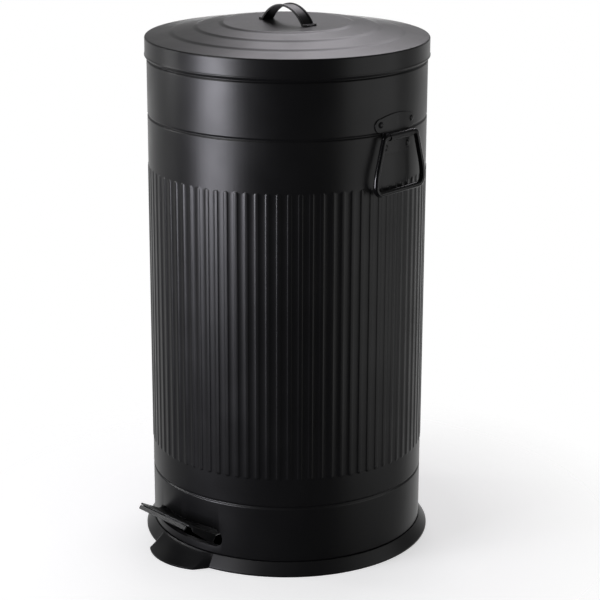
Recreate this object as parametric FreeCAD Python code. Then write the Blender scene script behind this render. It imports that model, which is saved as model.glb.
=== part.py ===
import FreeCAD, Part
import math
import os

os.makedirs("parts", exist_ok=True)

# A round step-on waste bin in sheet steel: ribbed body, stepped lid on a rear hinge, front pedal,
# drop handles and a lift-out bucket. Millimetres, +Z up, the origin on the floor at the body's axis.
# The pedal is at -Y, the lid's hinge at +Y, and the drop handles are near +X and -X.

# Body sheet
body_radius = 150.0
sheet = 1.0
body_height = 546.0
rim_bead_radius = 2.0

# Grooves rolled into the body, and the ribs between them
low_groove_z = 76.0
high_groove_drop = 75.0
groove_height = 6.0
groove_depth = 1.6
rib_count = 84
rib_width = 5.5
rib_rise = 0.6
rib_low_z = 107.0
rib_top_drop = 129.0

# Base ring and the toe moulding in front of it
ring_flare = 10.0
ring_height = 14.0
ring_edge = 2.0
ring_lip = 0.7
ring_upstand = 2.7
ring_upstand_rise = 2.0
body_foot_z = 3.0
seat_fit = 0.3
toe_half_angle = 17.6
toe_seam = 0.3
toe_reach = 29.0
toe_corner_reach = 21.0
toe_corner_angle = 13.0
toe_corner_swing = 2.5
toe_levels = 5
toe_screw_angle = 9.0
toe_screw_z = 7.0
toe_screw_radius = 1.5
toe_screw_bite = 3.4
toe_screw_head_radius = 3.0
toe_screw_head_height = 2.0

# Opening for the pedal in the body's front wall
opening_half_width = 53.0
opening_low_z = 22.0
opening_high_z = 51.0
opening_corner = 8.0

# Floor plate of the body, locked on the low groove
floor_seat = 0.25
floor_sheet = 1.0
floor_flange = 10.0
floor_fit = 0.3

# Lid
lid_sheet = 1.0
lid_gap = 1.0
lid_overlap = 13.0
lid_headroom = 8.0
lid_edge_fillet = 2.0
lid_hem_rise = 0.8
lid_hem_height = 2.2
lid_ring_shares = (0.738, 0.495, 0.238)
lid_slope_rises = (3.2, 3.2, 2.2)
lid_step_rise = 1.8
lid_step_run = 3.0
lid_crown_rise = -1.0
lid_flat_radius = 45.0
lid_open_angle = 75.0

# Strap handle on the lid
strap_radius = 38.0
strap_rise = 20.0
strap_width = 18.0
strap_sheet = 1.5
strap_border = 2.5
strap_border_rise = 0.7
strap_tab = 4.5

# Rubber bumpers under the lid
bumper_count = 3
bumper_radius = 3.0
bumper_gap = 0.3

# Lid hinge
hinge_standoff = 5.5
hinge_drop = 3.0
hinge_pin_radius = 2.5
hinge_bore_clearance = 0.05
hinge_knuckle_radius = 4.2
hinge_half_width = 22.0
hinge_centre_half_width = 8.0
hinge_side_gap = 0.3
hinge_plate_sheet = 1.5
hinge_plate_height = 30.0
hinge_plate_drop = 11.0
hinge_rivet_edge = 7.0
hinge_rivet_drop = 9.0
hinge_arm_angles = (-70.0, -95.0)
hinge_pin_head_radius = 4.0
hinge_pin_head_height = 1.5
leaf_half_width = 16.0
leaf_sheet = 1.3
leaf_rivet_x = 11.0
leaf_rivet_rise = 2.5
leaf_arm_angles = (80.0, 107.0)

# Push rod and the crank that it lifts the lid by
crank_reach = 27.5
crank_sheet = 2.0
crank_wall = 3.6
crank_root_angle = 118.0
crank_foot_half_width = 10.0
crank_foot_length = 19.0
crank_foot_sheet = 1.5
rod_radius = 2.0
rod_x = -6.0
rod_bend = 4.0
rod_pin_overrun = 3.0
rod_low_z = 14.0
rod_share = 0.957
rod_slot_clearance = 0.12
rod_slot_end = 0.5
clip_radius = 4.5
clip_length = 1.4
clip_gap = 0.3
clip_bore_clearance = 0.02
bush_radius = 5.0
bush_flange = 2.0
bush_clearance = 0.08
bush_seat_clearance = 0.05
guide_drop = 103.0
guide_half_width = 7.0
guide_sheet = 2.0
guide_flange = 18.0
guide_rivet_spread = 4.5
guide_nose = 4.2

# Pedal
tread_reach = 30.0
tread_front_half_width = 42.0
tread_side_gap = 1.5
tread_front_z = 54.0
tread_deck_z = 38.8
tread_sheet = 2.0
tread_lip = 5.0
tread_corner = 4.0
tread_wall_gap = 3.5
tread_skirt_low_z = 27.5
tread_cheek_low_z = 17.0
tread_tail = 14.0
pivot_setback = 60.0
pivot_z = 26.0
pivot_radius = 3.0
pivot_clearance = 0.06
pivot_side_gap = 0.6
pivot_head_radius = 5.0
pivot_head_height = 2.0
lever_sheet = 3.0
lever_height = 14.0
lever_flange_half_width = 14.0
lever_flange_sheet = 2.0
lever_flange_reach = 15.0
lever_tail = 8.0
bracket_sheet = 2.0
bracket_length = 28.0
bracket_ear = 9.0
bracket_rivet_x = 25.0
bracket_rivet_spread = 7.0
tread_rivet_x = 9.0

# Drop handles
handle_angle = 97.0
handle_drop = 78.0
handle_pivot_standoff = 4.8
handle_plate_sheet = 1.2
handle_plate_gap = 0.1
handle_band_half_width = 32.5
handle_band_radius = 7.3
handle_band_lift = 11.6
handle_band_crown = 3.8
handle_tab_half_width = 22.0
handle_tab_depth = 19.0
handle_tab_corner = 5.0
handle_ridge_radius = 4.0
handle_ridge_half_length = 21.0
handle_rivet_high = (25.0, 12.8)
handle_rivet_low = (17.8, -12.0)
bail_radius = 3.0
bail_clearance = 0.06
bail_top_half_width = 24.5
bail_low_half_width = 42.3
bail_length = 60.6
bail_top_bend = 4.2
bail_low_bend = 12.0
bail_stub_start = 8.0

# Rivets, shared by every riveted joint
rivet_radius = 2.0
rivet_head_radius = 3.4
rivet_head_height = 1.6
rivet_tail_radius = 2.8
rivet_tail_height = 0.9
rivet_clearance = 0.05
rivet_seat = 0.03
rivet_slack = 0.09

# Lift-out bucket and its wire bail
bucket_rod_gap = 4.0
bucket_rim_drop = 44.0
bucket_taper = 16.0
bucket_wall = 2.0
bucket_lip = 2.5
bucket_lip_height = 3.0
bucket_foot_height = 4.0
bucket_foot_width = 4.0
bucket_bottom = 2.5
bucket_bail_radius = 2.0
bucket_bail_gap = 0.2
bucket_bail_bend = 4.0
bucket_ear_y = 6.0
bucket_ear_half_length = 5.0
bucket_ear_width = 4.0
bucket_ear_rise = 7.0
bucket_ear_depth = 9.0

# Places worked out from the sizes above
body_top_z = body_foot_z + body_height
body_inside = body_radius - sheet
high_groove_z = body_top_z - high_groove_drop
rib_top_z = body_top_z - rib_top_drop
seat_inside = body_inside - seat_fit
seat_outside = body_radius + seat_fit
ring_inside = seat_inside - ring_upstand
ring_top_radius = seat_outside + ring_lip
ring_radius = body_radius + ring_flare

lid_inside = body_radius + lid_gap
lid_radius = lid_inside + lid_sheet
lid_rings_run = lid_radius - lid_flat_radius
lid_ring_radii = [lid_flat_radius + lid_rings_run * share for share in lid_ring_shares]
skirt_low_z = body_top_z - lid_overlap
lid_crease_z = body_top_z + lid_headroom
lid_step_total = len(lid_ring_radii) * lid_step_rise
lid_flat_z = lid_crease_z + sum(lid_slope_rises) + lid_step_total + lid_crown_rise

hinge_y = lid_radius + hinge_standoff
hinge_z = skirt_low_z - hinge_drop
hinge_bore = hinge_pin_radius + hinge_bore_clearance

rod_y = hinge_y - crank_reach
crank_half_angle = lid_open_angle / 2.0
rod_lift = 2.0 * crank_reach * math.tan(math.radians(crank_half_angle)) * rod_share
rod_top_z = hinge_z - rod_lift / 2.0

pivot_y = -(body_radius - pivot_setback)
tread_half_width = opening_half_width - tread_side_gap
tread_front_y = -(body_radius + tread_reach)
wall_y = -math.sqrt(body_radius ** 2 - tread_half_width ** 2)
tread_neck_y = wall_y - tread_wall_gap
tread_tail_y = pivot_y + tread_tail
tread_under_z = tread_deck_z - tread_sheet
lever_arm = rod_y - pivot_y
lever_rest_angle = math.asin((rod_low_z - pivot_z) / lever_arm)
pedal_swing = math.asin((rod_low_z + rod_lift - pivot_z) / lever_arm) - lever_rest_angle
cheek_inside = tread_half_width + pivot_side_gap
cheek_outside = cheek_inside + bracket_sheet

groove_arc = (groove_height ** 2 / 4.0 + groove_depth ** 2) / (2.0 * groove_depth)
floor_radius = body_inside - floor_fit
floor_edge_depth = body_inside - groove_depth + groove_arc - floor_radius
floor_low_z = low_groove_z + math.sqrt(groove_arc ** 2 - floor_edge_depth ** 2) + floor_seat
floor_top_z = floor_low_z + floor_sheet

handle_z = body_top_z - handle_drop
handle_pivot_radius = body_radius + handle_pivot_standoff
plate_inside = body_radius + handle_plate_gap
plate_outside = plate_inside + handle_plate_sheet

bucket_rim_radius = rod_y - rod_radius - bucket_rod_gap
bucket_neck_radius = bucket_rim_radius - bucket_lip
bucket_base_radius = bucket_rim_radius - bucket_taper
bucket_top_z = body_top_z - bucket_rim_drop
guide_z = body_top_z - guide_drop
reach_past = 20.0
same_place = 1e-6
rear = 180.0
mid_arc = math.sqrt(0.5)
along_axis = 0.9


def at(radius, angle, z):
    """Point at a radius and a height, with the angle in degrees from the front, towards +X."""
    turn = math.radians(angle)
    return FreeCAD.Vector(radius * math.sin(turn), -radius * math.cos(turn), z)


def outward(angle):
    """Unit vector that points away from the axis, with the angle in degrees from the front."""
    return at(1.0, angle, 0.0)


def outline(place, steps):
    """Closed face: each step is an end point, or a pair of a point on an arc and its end point."""
    edges = []
    here = place(*steps[0])
    for step in steps[1:] + steps[:1]:
        if isinstance(step[0], tuple):
            end = place(*step[1])
            edges.append(Part.Arc(here, place(*step[0]), end).toShape())
        else:
            end = place(*step)
            if not end.isEqual(here, same_place):
                edges.append(Part.makeLine(here, end))
        here = end
    return Part.Face(Part.Wire(edges))


def turned(*steps):
    """Solid of revolution about the body's axis, from a profile of radius and height."""
    profile = outline(lambda r, z: FreeCAD.Vector(r, 0, z), list(steps))
    return profile.revolve(FreeCAD.Vector(0, 0, 0), FreeCAD.Vector(0, 0, 1), 360)


def plate_x(low_x, high_x, *steps):
    """Flat plate square to X, from an outline of y and z."""
    face = outline(lambda y, z: FreeCAD.Vector(low_x, y, z), list(steps))
    return face.extrude(FreeCAD.Vector(high_x - low_x, 0, 0))


def plate_z(low_z, high_z, *steps):
    """Flat plate square to Z, from an outline of x and y."""
    face = outline(lambda x, y: FreeCAD.Vector(x, y, low_z), list(steps))
    return face.extrude(FreeCAD.Vector(0, 0, high_z - low_z))


def box(low, high):
    """Box between two corners."""
    size = FreeCAD.Vector(*high) - FreeCAD.Vector(*low)
    return Part.makeBox(size.x, size.y, size.z, FreeCAD.Vector(*low))


def bar(start, end, radius):
    """Round bar between two points."""
    start = FreeCAD.Vector(start)
    run = FreeCAD.Vector(end) - start
    return Part.makeCylinder(radius, run.Length, start, run)


def drum(radius, low_z, high_z):
    """Round block on the body's axis."""
    return Part.makeCylinder(radius, high_z - low_z, FreeCAD.Vector(0, 0, low_z))


def hoop(inside, outside, low_z, high_z):
    """Ring on the body's axis."""
    return drum(outside, low_z, high_z).cut(drum(inside, low_z, high_z))


def wire_form(points, bends, radius):
    """Round wire bent along straight runs, with one bend radius for each inner point."""
    edges = []
    here = points[0]
    for before, corner, after, bend in zip(points, points[1:], points[2:], bends):
        back = (before - corner).normalize()
        ahead = (after - corner).normalize()
        half_turn = (math.pi - back.getAngle(ahead)) / 2.0
        setback = bend * math.tan(half_turn)
        middle = (back + ahead).normalize()
        arc_start = corner + back * setback
        arc_end = corner + ahead * setback
        arc_top = corner + middle * (bend / math.cos(half_turn) - bend)
        edges.append(Part.makeLine(here, arc_start))
        edges.append(Part.Arc(arc_start, arc_top, arc_end).toShape())
        here = arc_end
    edges.append(Part.makeLine(here, points[-1]))
    section = Part.Wire(Part.makeCircle(radius, points[0], points[1] - points[0]))
    return Part.Wire(edges).makePipeShell([section], True, False)


def rivet(seat, direction, grip):
    """Domed rivet: its head sits at the seat, and its tail closes the far side of the grip."""
    dome = (rivet_head_radius ** 2 + rivet_head_height ** 2) / (2.0 * rivet_head_height)
    half_turn = math.asin(rivet_head_radius / dome) / 2.0
    dome_run = dome * math.sin(half_turn)
    dome_rise = rivet_head_height - dome * (1.0 - math.cos(half_turn))
    profile = outline(lambda r, z: FreeCAD.Vector(r, 0, z), [
        (0, -grip - rivet_tail_height), (rivet_tail_radius, -grip - rivet_tail_height),
        (rivet_tail_radius, -grip), (rivet_radius, -grip), (rivet_radius, 0),
        (rivet_head_radius, 0), ((dome_run, dome_rise), (0, rivet_head_height))])
    solid = profile.revolve(FreeCAD.Vector(0, 0, 0), FreeCAD.Vector(0, 0, 1), 360)
    turn = FreeCAD.Rotation(FreeCAD.Vector(0, 0, 1), direction)
    solid.Placement = FreeCAD.Placement(seat, turn)
    return solid


def rivet_hole(seat, direction, grip):
    """Clearance hole for a rivet, run past both ends of its grip."""
    start = seat + direction * rivet_head_height
    end = seat - direction * (grip + rivet_tail_height)
    return bar(start, end, rivet_radius + rivet_clearance)


def cut_all(shape, tools):
    """Shape with every tool taken out of it."""
    for tool in tools:
        shape = shape.cut(tool)
    return shape


def joined(*shapes):
    """One clean solid from shapes that overlap."""
    whole = shapes[0]
    for shape in shapes[1:]:
        whole = whole.fuse(shape)
    return whole.removeSplitter()


def slot_x(start, end, radius, low_x, high_x):
    """Round-ended slot cutter along X, between two places given as y and z."""
    run_y = end[0] - start[0]
    run_z = end[1] - start[1]
    length = math.hypot(run_y, run_z)
    side_y = -run_z / length * radius
    side_z = run_y / length * radius
    middle = plate_x(
        low_x, high_x,
        (start[0] + side_y, start[1] + side_z), (end[0] + side_y, end[1] + side_z),
        (end[0] - side_y, end[1] - side_z), (start[0] - side_y, start[1] - side_z))
    caps = [bar((low_x, *place), (high_x, *place), radius) for place in (start, end)]
    return joined(middle, *caps)


# Rivet places, shared by the rivets and by the holes that they fill
def handle_rivet_places(side):
    """Seat and direction of each rivet of one handle plate, side 1 for +X and -1 for -X."""
    places = []
    for spread, lift in (handle_rivet_high, handle_rivet_low):
        for hand in (-1, 1):
            turn = math.degrees(math.asin(hand * spread / body_radius))
            angle = side * handle_angle + turn
            seat = at(plate_outside + rivet_seat, angle, handle_z + lift)
            places.append((seat, outward(angle)))
    return places


def hinge_rivet_places():
    """Seat and direction of each rivet of the body's hinge bracket."""
    places = []
    seat_radius = body_radius + handle_plate_gap + hinge_plate_sheet + rivet_seat
    top = hinge_z - hinge_plate_drop
    spread = hinge_half_width - hinge_rivet_edge
    for z in (top - hinge_rivet_drop, top - hinge_plate_height + hinge_rivet_edge):
        for hand in (-1, 1):
            angle = rear + math.degrees(math.asin(hand * spread / body_radius))
            places.append((at(seat_radius, angle, z), outward(angle)))
    return places


def guide_rivet_places():
    """Seat and direction of each rivet of the rod guide, with the heads outside the body."""
    places = []
    for hand in (-1, 1):
        x = rod_x + hand * guide_rivet_spread
        angle = rear - math.degrees(math.asin(x / body_radius))
        seat = at(body_radius + rivet_seat, angle, guide_z - guide_flange / 2.0)
        places.append((seat, outward(angle)))
    return places


def leaf_rivet_places():
    """Seat and direction of each rivet of the lid's hinge leaf."""
    places = []
    seat_radius = lid_radius + handle_plate_gap + leaf_sheet + rivet_seat
    for hand in (-1, 1):
        angle = rear + math.degrees(math.asin(hand * leaf_rivet_x / seat_radius))
        seat = at(seat_radius, angle, body_top_z + leaf_rivet_rise + rivet_seat)
        places.append((seat, outward(angle)))
    return places


def bracket_rivet_places():
    """Seat and direction of each rivet of the pedal bracket, with the heads on the floor plate."""
    up = FreeCAD.Vector(0, 0, 1)
    places = []
    for hand in (-1, 1):
        for step in (-1, 1):
            y = pivot_y + step * bracket_rivet_spread
            places.append((FreeCAD.Vector(hand * bracket_rivet_x, y, floor_top_z), up))
    return places


def tread_rivet_places():
    """Seat and direction of each rivet between the tread and the lever."""
    up = FreeCAD.Vector(0, 0, 1)
    places = []
    inner_y = -body_inside + reach_past
    for hand in (-1, 1):
        for y in (inner_y, (inner_y + pivot_y) / 2.0):
            places.append((FreeCAD.Vector(hand * tread_rivet_x, y, tread_deck_z), up))
    return places


handle_grip = handle_plate_sheet + handle_plate_gap + sheet + rivet_slack
hinge_grip = hinge_plate_sheet + handle_plate_gap + sheet + rivet_slack
guide_grip = sheet + guide_sheet + handle_plate_gap + rivet_slack
leaf_grip = leaf_sheet + handle_plate_gap + lid_sheet + rivet_slack
bracket_grip = floor_sheet + bracket_sheet
tread_grip = tread_sheet + lever_flange_sheet


def rivets(places, grip):
    """All rivets of one riveted joint."""
    return Part.makeCompound([rivet(seat, direction, grip) for seat, direction in places])


def rivet_holes(places, grip):
    """The holes for all rivets of one riveted joint."""
    return [rivet_hole(seat, direction, grip) for seat, direction in places]


def toe_screw_axis(hand):
    """Start under the head and end of one toe screw."""
    angle = hand * toe_screw_angle
    start = at(ring_inside, angle, toe_screw_z)
    return start, at(seat_outside + toe_screw_bite, angle, toe_screw_z)


def toe_screw_holes():
    """The holes for the toe screws, run past their heads."""
    tools = []
    for hand in (-1, 1):
        start, end = toe_screw_axis(hand)
        back = outward(hand * toe_screw_angle) * -toe_screw_head_height
        tools.append(bar(start + back, end, toe_screw_radius + rivet_clearance))
    return tools


# Body
def rib_radius():
    """Radius of the rib's round top, from its width and its rise."""
    return (rib_width ** 2 / 4.0 + rib_rise ** 2) / (2.0 * rib_rise)


def rib_capsules(radius):
    """One round-ended upright bar for each rib, on the centre line of the ribs."""
    centre_radius = body_radius + rib_rise - rib_radius()
    low = rib_low_z + rib_width / 2.0
    high = rib_top_z - rib_width / 2.0
    mid = radius * mid_arc
    profile = outline(lambda r, z: FreeCAD.Vector(r, 0, z), [
        (0, low - radius), ((mid, low - mid), (radius, low)),
        (radius, high), ((mid, high + mid), (0, high + radius))])
    capsule = profile.revolve(FreeCAD.Vector(0, 0, 0), FreeCAD.Vector(0, 0, 1), 360)
    capsules = []
    for index in range(rib_count):
        copy = capsule.copy()
        copy.translate(at(centre_radius, 360.0 * (index + 0.5) / rib_count, 0))
        capsules.append(copy)
    return capsules


def body_shell():
    """Rolled body sheet with grooves, ribs, a beaded rim, the pedal's opening and its rivet holes."""
    half_groove = groove_height / 2.0
    bead_z = body_top_z - rim_bead_radius
    bead_centre = body_radius - rim_bead_radius
    bead_turn = math.acos((rim_bead_radius - sheet) / rim_bead_radius)
    bead_end_z = bead_z - rim_bead_radius * math.sin(bead_turn)
    shell = turned(
        (body_radius, body_foot_z), (body_radius, low_groove_z - half_groove),
        ((body_radius - groove_depth, low_groove_z), (body_radius, low_groove_z + half_groove)),
        (body_radius, high_groove_z - half_groove),
        ((body_radius - groove_depth, high_groove_z), (body_radius, high_groove_z + half_groove)),
        (body_radius, bead_z),
        ((bead_centre, body_top_z), (bead_centre - rim_bead_radius, bead_z)),
        ((bead_centre, bead_z - rim_bead_radius), (body_inside, bead_end_z)),
        (body_inside, high_groove_z + half_groove),
        ((body_inside - groove_depth, high_groove_z), (body_inside, high_groove_z - half_groove)),
        (body_inside, low_groove_z + half_groove),
        ((body_inside - groove_depth, low_groove_z), (body_inside, low_groove_z - half_groove)),
        (body_inside, body_foot_z))
    core = drum(body_radius - sheet / 2.0, rib_low_z - reach_past, rib_top_z + reach_past)
    ribs = Part.makeCompound(rib_capsules(rib_radius())).cut(core)
    shell = shell.fuse(ribs.Solids)
    shell = shell.cut(rib_capsules(rib_radius() - sheet))
    opening = box((-opening_half_width, -body_radius - reach_past, opening_low_z),
                  (opening_half_width, -body_radius / 2.0, opening_high_z))
    upright = [edge for edge in opening.Edges if abs(edge.tangentAt(0).y) > along_axis]
    opening = opening.makeFillet(opening_corner, upright)
    tools = [opening]
    for side in (-1, 1):
        tools += rivet_holes(handle_rivet_places(side), handle_grip)
    tools += rivet_holes(hinge_rivet_places(), hinge_grip)
    tools += rivet_holes(guide_rivet_places(), guide_grip)
    tools += toe_screw_holes()
    return shell.cut(tools)


def body_floor():
    """Floor plate with an upturned edge, resting on the low groove's inner bead."""
    plate = turned(
        (0, floor_low_z), (floor_radius, floor_low_z), (floor_radius, floor_low_z + floor_flange),
        (floor_radius - floor_sheet, floor_low_z + floor_flange),
        (floor_radius - floor_sheet, floor_top_z), (0, floor_top_z))
    hole = bar((rod_x, rod_y, floor_low_z - floor_sheet), (rod_x, rod_y, floor_top_z + floor_sheet),
               bush_radius + bush_seat_clearance)
    return plate.cut([hole] + rivet_holes(bracket_rivet_places(), bracket_grip))


def ring_cone_radius(z):
    """Outer radius of the base ring's sloping face at a height."""
    share = (z - ring_edge) / (ring_height - ring_edge)
    return ring_radius + (ring_top_radius - ring_radius) * share


def base_ring():
    """Plastic ring that the body's lower edge stands in, with its flange cut away at the toe."""
    ring = turned(
        (ring_inside, 0), (ring_radius, 0), (ring_radius, ring_edge),
        (ring_top_radius, ring_height), (seat_outside, ring_height), (seat_outside, body_foot_z),
        (seat_inside, body_foot_z), (seat_inside, ring_height + ring_upstand_rise),
        (ring_inside, ring_height + ring_upstand_rise))
    sector = outline(lambda r, z: at(r, -toe_half_angle, z), [
        (seat_outside, -ring_edge), (ring_radius + reach_past, -ring_edge),
        (ring_radius + reach_past, ring_height + ring_edge), (seat_outside, ring_height + ring_edge)])
    gap = sector.revolve(FreeCAD.Vector(0, 0, 0), FreeCAD.Vector(0, 0, 1), 2.0 * toe_half_angle)
    return cut_all(ring.cut(gap), toe_screw_holes())


def toe_outline(z):
    """Closed outline of the toe at a height: a hollow ramp from the floor up to the body's joint."""
    share = max(0.0, min(1.0, (ring_height - z) / (ring_height - ring_edge)))
    spread = share ** 2
    end_angle = toe_half_angle - math.degrees(toe_seam / body_radius)
    corner_angle = toe_corner_angle + toe_corner_swing * (1.0 - spread)
    corner_radius = ring_top_radius + toe_corner_reach * spread
    end_radius = ring_cone_radius(max(z, ring_edge))
    back_radius = seat_outside + toe_seam
    front = at(ring_top_radius + toe_reach * spread, 0, z)
    corners = [at(corner_radius, hand * corner_angle, z) for hand in (-1, 1)]
    ends = [at(end_radius, hand * end_angle, z) for hand in (-1, 1)]
    backs = [at(back_radius, hand * end_angle, z) for hand in (-1, 1)]
    return Part.Wire([
        Part.Arc(corners[0], front, corners[1]).toShape(),
        Part.makeLine(corners[1], ends[1]), Part.makeLine(ends[1], backs[1]),
        Part.Arc(backs[1], at(back_radius, 0, z), backs[0]).toShape(),
        Part.makeLine(backs[0], ends[0]), Part.makeLine(ends[0], corners[0])])


def toe():
    """Toe moulding in front of the ring, below the pedal."""
    sole = Part.Face(toe_outline(0)).extrude(FreeCAD.Vector(0, 0, ring_edge))
    rise = (ring_height - ring_edge) / (toe_levels - 1)
    ramp = Part.makeLoft([toe_outline(ring_edge + rise * level) for level in range(toe_levels)], True)
    return cut_all(joined(sole, ramp), toe_screw_holes())


def toe_screws():
    """Two screws that hold the toe, driven from inside the ring."""
    screws = []
    for hand in (-1, 1):
        start, end = toe_screw_axis(hand)
        back = outward(hand * toe_screw_angle) * -toe_screw_head_height
        head = bar(start + back, start, toe_screw_head_radius)
        flat = drum(ring_inside, 0, ring_height + ring_upstand_rise)
        shank = bar(start + back / 2.0, end, toe_screw_radius)
        screws.append(joined(head.common(flat), shank))
    return Part.makeCompound(screws)


# Lid
def lid_steps(drop):
    """Profile points of the lid's top from its edge to the centre, lowered by a sheet thickness."""
    points = []
    z = lid_crease_z - drop
    for radius, rise in zip(lid_ring_radii, lid_slope_rises):
        z = z + rise
        points.append((radius + lid_step_run / 2.0, z))
        z = z + lid_step_rise
        points.append((radius - lid_step_run / 2.0, z))
    points.append((lid_flat_radius, lid_flat_z - drop))
    points.append((0, lid_flat_z - drop))
    return points


def edge_arc(radius, top_z, fillet):
    """Rounded corner between an upright wall and the lid's top: a point on the arc and its end."""
    inset = fillet * (1.0 - mid_arc)
    middle = (radius - inset, top_z - inset)
    return (middle, (radius - fillet, top_z))


def lid_shell():
    """Pressed lid: hemmed skirt, rounded edge and three raised rings round a flat centre."""
    inner_fillet = lid_edge_fillet - lid_sheet
    under_z = lid_crease_z - lid_sheet
    inner_end = edge_arc(lid_inside, under_z, inner_fillet)
    under = lid_steps(lid_sheet)
    shell = turned(
        (lid_inside, skirt_low_z), (lid_radius, skirt_low_z),
        ((lid_radius + lid_hem_rise, skirt_low_z + lid_hem_height / 2.0),
         (lid_radius, skirt_low_z + lid_hem_height)),
        (lid_radius, lid_crease_z - lid_edge_fillet),
        edge_arc(lid_radius, lid_crease_z, lid_edge_fillet),
        *lid_steps(0), *reversed(under),
        inner_end[1], (inner_end[0], (lid_inside, under_z - inner_fillet)))
    return cut_all(shell, rivet_holes(leaf_rivet_places(), leaf_grip))


def space_under_lid():
    """The space inside the closed lid, which trims what is fixed to its underside."""
    inner_fillet = lid_edge_fillet - lid_sheet
    under_z = lid_crease_z - lid_sheet
    floor_z = hinge_z - crank_reach * 2.0
    return turned(
        (0, floor_z), (lid_inside, floor_z), (lid_inside, under_z - inner_fillet),
        edge_arc(lid_inside, under_z, inner_fillet), *lid_steps(lid_sheet))


def lid_handle():
    """Strap handle: a round arch with raised borders and a welded tab at each foot."""
    centre_z = lid_flat_z + strap_rise - strap_radius
    half_width = strap_width / 2.0
    arch = strap_radius - strap_border_rise
    inside = arch - strap_sheet

    def band(outer, low_y, high_y):
        outer_bar = bar((0, low_y, centre_z), (0, high_y, centre_z), outer)
        return outer_bar.cut(bar((0, low_y, centre_z), (0, high_y, centre_z), inside))

    strap = joined(
        band(arch, -half_width, half_width),
        band(strap_radius, -half_width, strap_border - half_width),
        band(strap_radius, half_width - strap_border, half_width))
    above = box((-strap_radius, -half_width, lid_flat_z),
                (strap_radius, half_width, lid_flat_z + strap_radius))
    strap = strap.common(above)
    foot = math.sqrt(arch ** 2 - (lid_flat_z - centre_z) ** 2)
    tabs = []
    for hand in (-1, 1):
        ends = sorted((hand * (foot - strap_sheet), hand * (foot + strap_tab)))
        tabs.append(box((ends[0], -half_width, lid_flat_z), (ends[1], half_width, lid_flat_z + strap_sheet)))
    return joined(strap, *tabs)


def lid_bumpers():
    """Rubber pads under the lid that land on the body's rim."""
    space = space_under_lid()
    centre_radius = body_radius - rim_bead_radius
    pads = []
    for index in range(bumper_count):
        foot = at(centre_radius, 360.0 * index / bumper_count, body_top_z + bumper_gap)
        pad = Part.makeCylinder(bumper_radius, lid_headroom + bumper_radius, foot)
        pads.append(pad.common(space).Solids[0])
    return Part.makeCompound(pads)


def knuckle(low_x, high_x):
    """One hinge knuckle on the lid's axis, without its bore."""
    return bar((low_x, hinge_y, hinge_z), (high_x, hinge_y, hinge_z), hinge_knuckle_radius)


def hinge_bore_cutter():
    """The bore through every knuckle of the lid's hinge."""
    reach = hinge_half_width + reach_past
    return bar((-reach, hinge_y, hinge_z), (reach, hinge_y, hinge_z), hinge_bore)


def on_knuckle(degrees, radius):
    """Place as y and z at an angle about the lid's hinge axis."""
    turn = math.radians(degrees)
    return (hinge_y + radius * math.cos(turn), hinge_z + radius * math.sin(turn))


def hinge_bracket():
    """Hinge bracket riveted to the rear wall, with a knuckle at each end."""
    inside = body_radius + handle_plate_gap
    outside = inside + hinge_plate_sheet
    top_z = hinge_z - hinge_plate_drop
    low_z = top_z - hinge_plate_height
    plate = hoop(inside, outside, low_z, top_z).common(
        box((-hinge_half_width, 0, low_z), (hinge_half_width, outside, top_z)))
    wall = drum(inside, low_z - reach_past, hinge_z + reach_past)
    pieces = [plate]
    inner_radius = hinge_knuckle_radius - hinge_plate_sheet
    arm_low_z = top_z - hinge_plate_sheet * 2.0
    for low_x, high_x in ((-hinge_half_width, -hinge_centre_half_width - hinge_side_gap),
                          (hinge_centre_half_width + hinge_side_gap, hinge_half_width)):
        arm = plate_x(
            low_x, high_x,
            (inside - hinge_standoff, arm_low_z), (outside, arm_low_z),
            on_knuckle(hinge_arm_angles[0], hinge_knuckle_radius),
            on_knuckle(hinge_arm_angles[1], inner_radius),
            (inside + hinge_plate_sheet / 2.0, top_z), (inside - hinge_standoff, top_z))
        pieces += [arm.cut(wall), knuckle(low_x, high_x)]
    tools = [hinge_bore_cutter()] + rivet_holes(hinge_rivet_places(), hinge_grip)
    return cut_all(joined(*pieces), tools)


def hinge_pin():
    """Pin of the lid's hinge, with a head at one end."""
    reach = hinge_half_width + hinge_pin_head_height
    pin = bar((-reach, hinge_y, hinge_z), (reach, hinge_y, hinge_z), hinge_pin_radius)
    head_end = -reach + hinge_pin_head_height - hinge_side_gap
    head = bar((-reach, hinge_y, hinge_z), (head_end, hinge_y, hinge_z), hinge_pin_head_radius)
    return joined(pin, head)


def lid_hinge_leaf():
    """Leaf riveted to the lid's rear skirt, with the hinge's middle knuckle."""
    inside = lid_radius + handle_plate_gap
    outside = inside + leaf_sheet
    low_z = skirt_low_z + lid_hem_height * 2.0
    high_z = lid_crease_z - lid_edge_fillet
    plate = hoop(inside, outside, low_z, high_z).common(
        box((-leaf_half_width, 0, low_z), (leaf_half_width, outside, high_z)))
    wall = drum(inside, skirt_low_z - reach_past, lid_crease_z)
    inner_radius = hinge_knuckle_radius - leaf_sheet
    arm = plate_x(
        -hinge_centre_half_width, hinge_centre_half_width,
        (inside - hinge_standoff, low_z), (inside - hinge_standoff, low_z + leaf_sheet * 2.0),
        (outside, low_z + leaf_sheet * 2.0), on_knuckle(leaf_arm_angles[0], hinge_knuckle_radius),
        on_knuckle(leaf_arm_angles[1], inner_radius), (inside + leaf_sheet / 2.0, low_z))
    pieces = [plate, arm.cut(wall), knuckle(-hinge_centre_half_width, hinge_centre_half_width)]
    tools = [hinge_bore_cutter()] + rivet_holes(leaf_rivet_places(), leaf_grip)
    return cut_all(joined(*pieces), tools)


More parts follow.
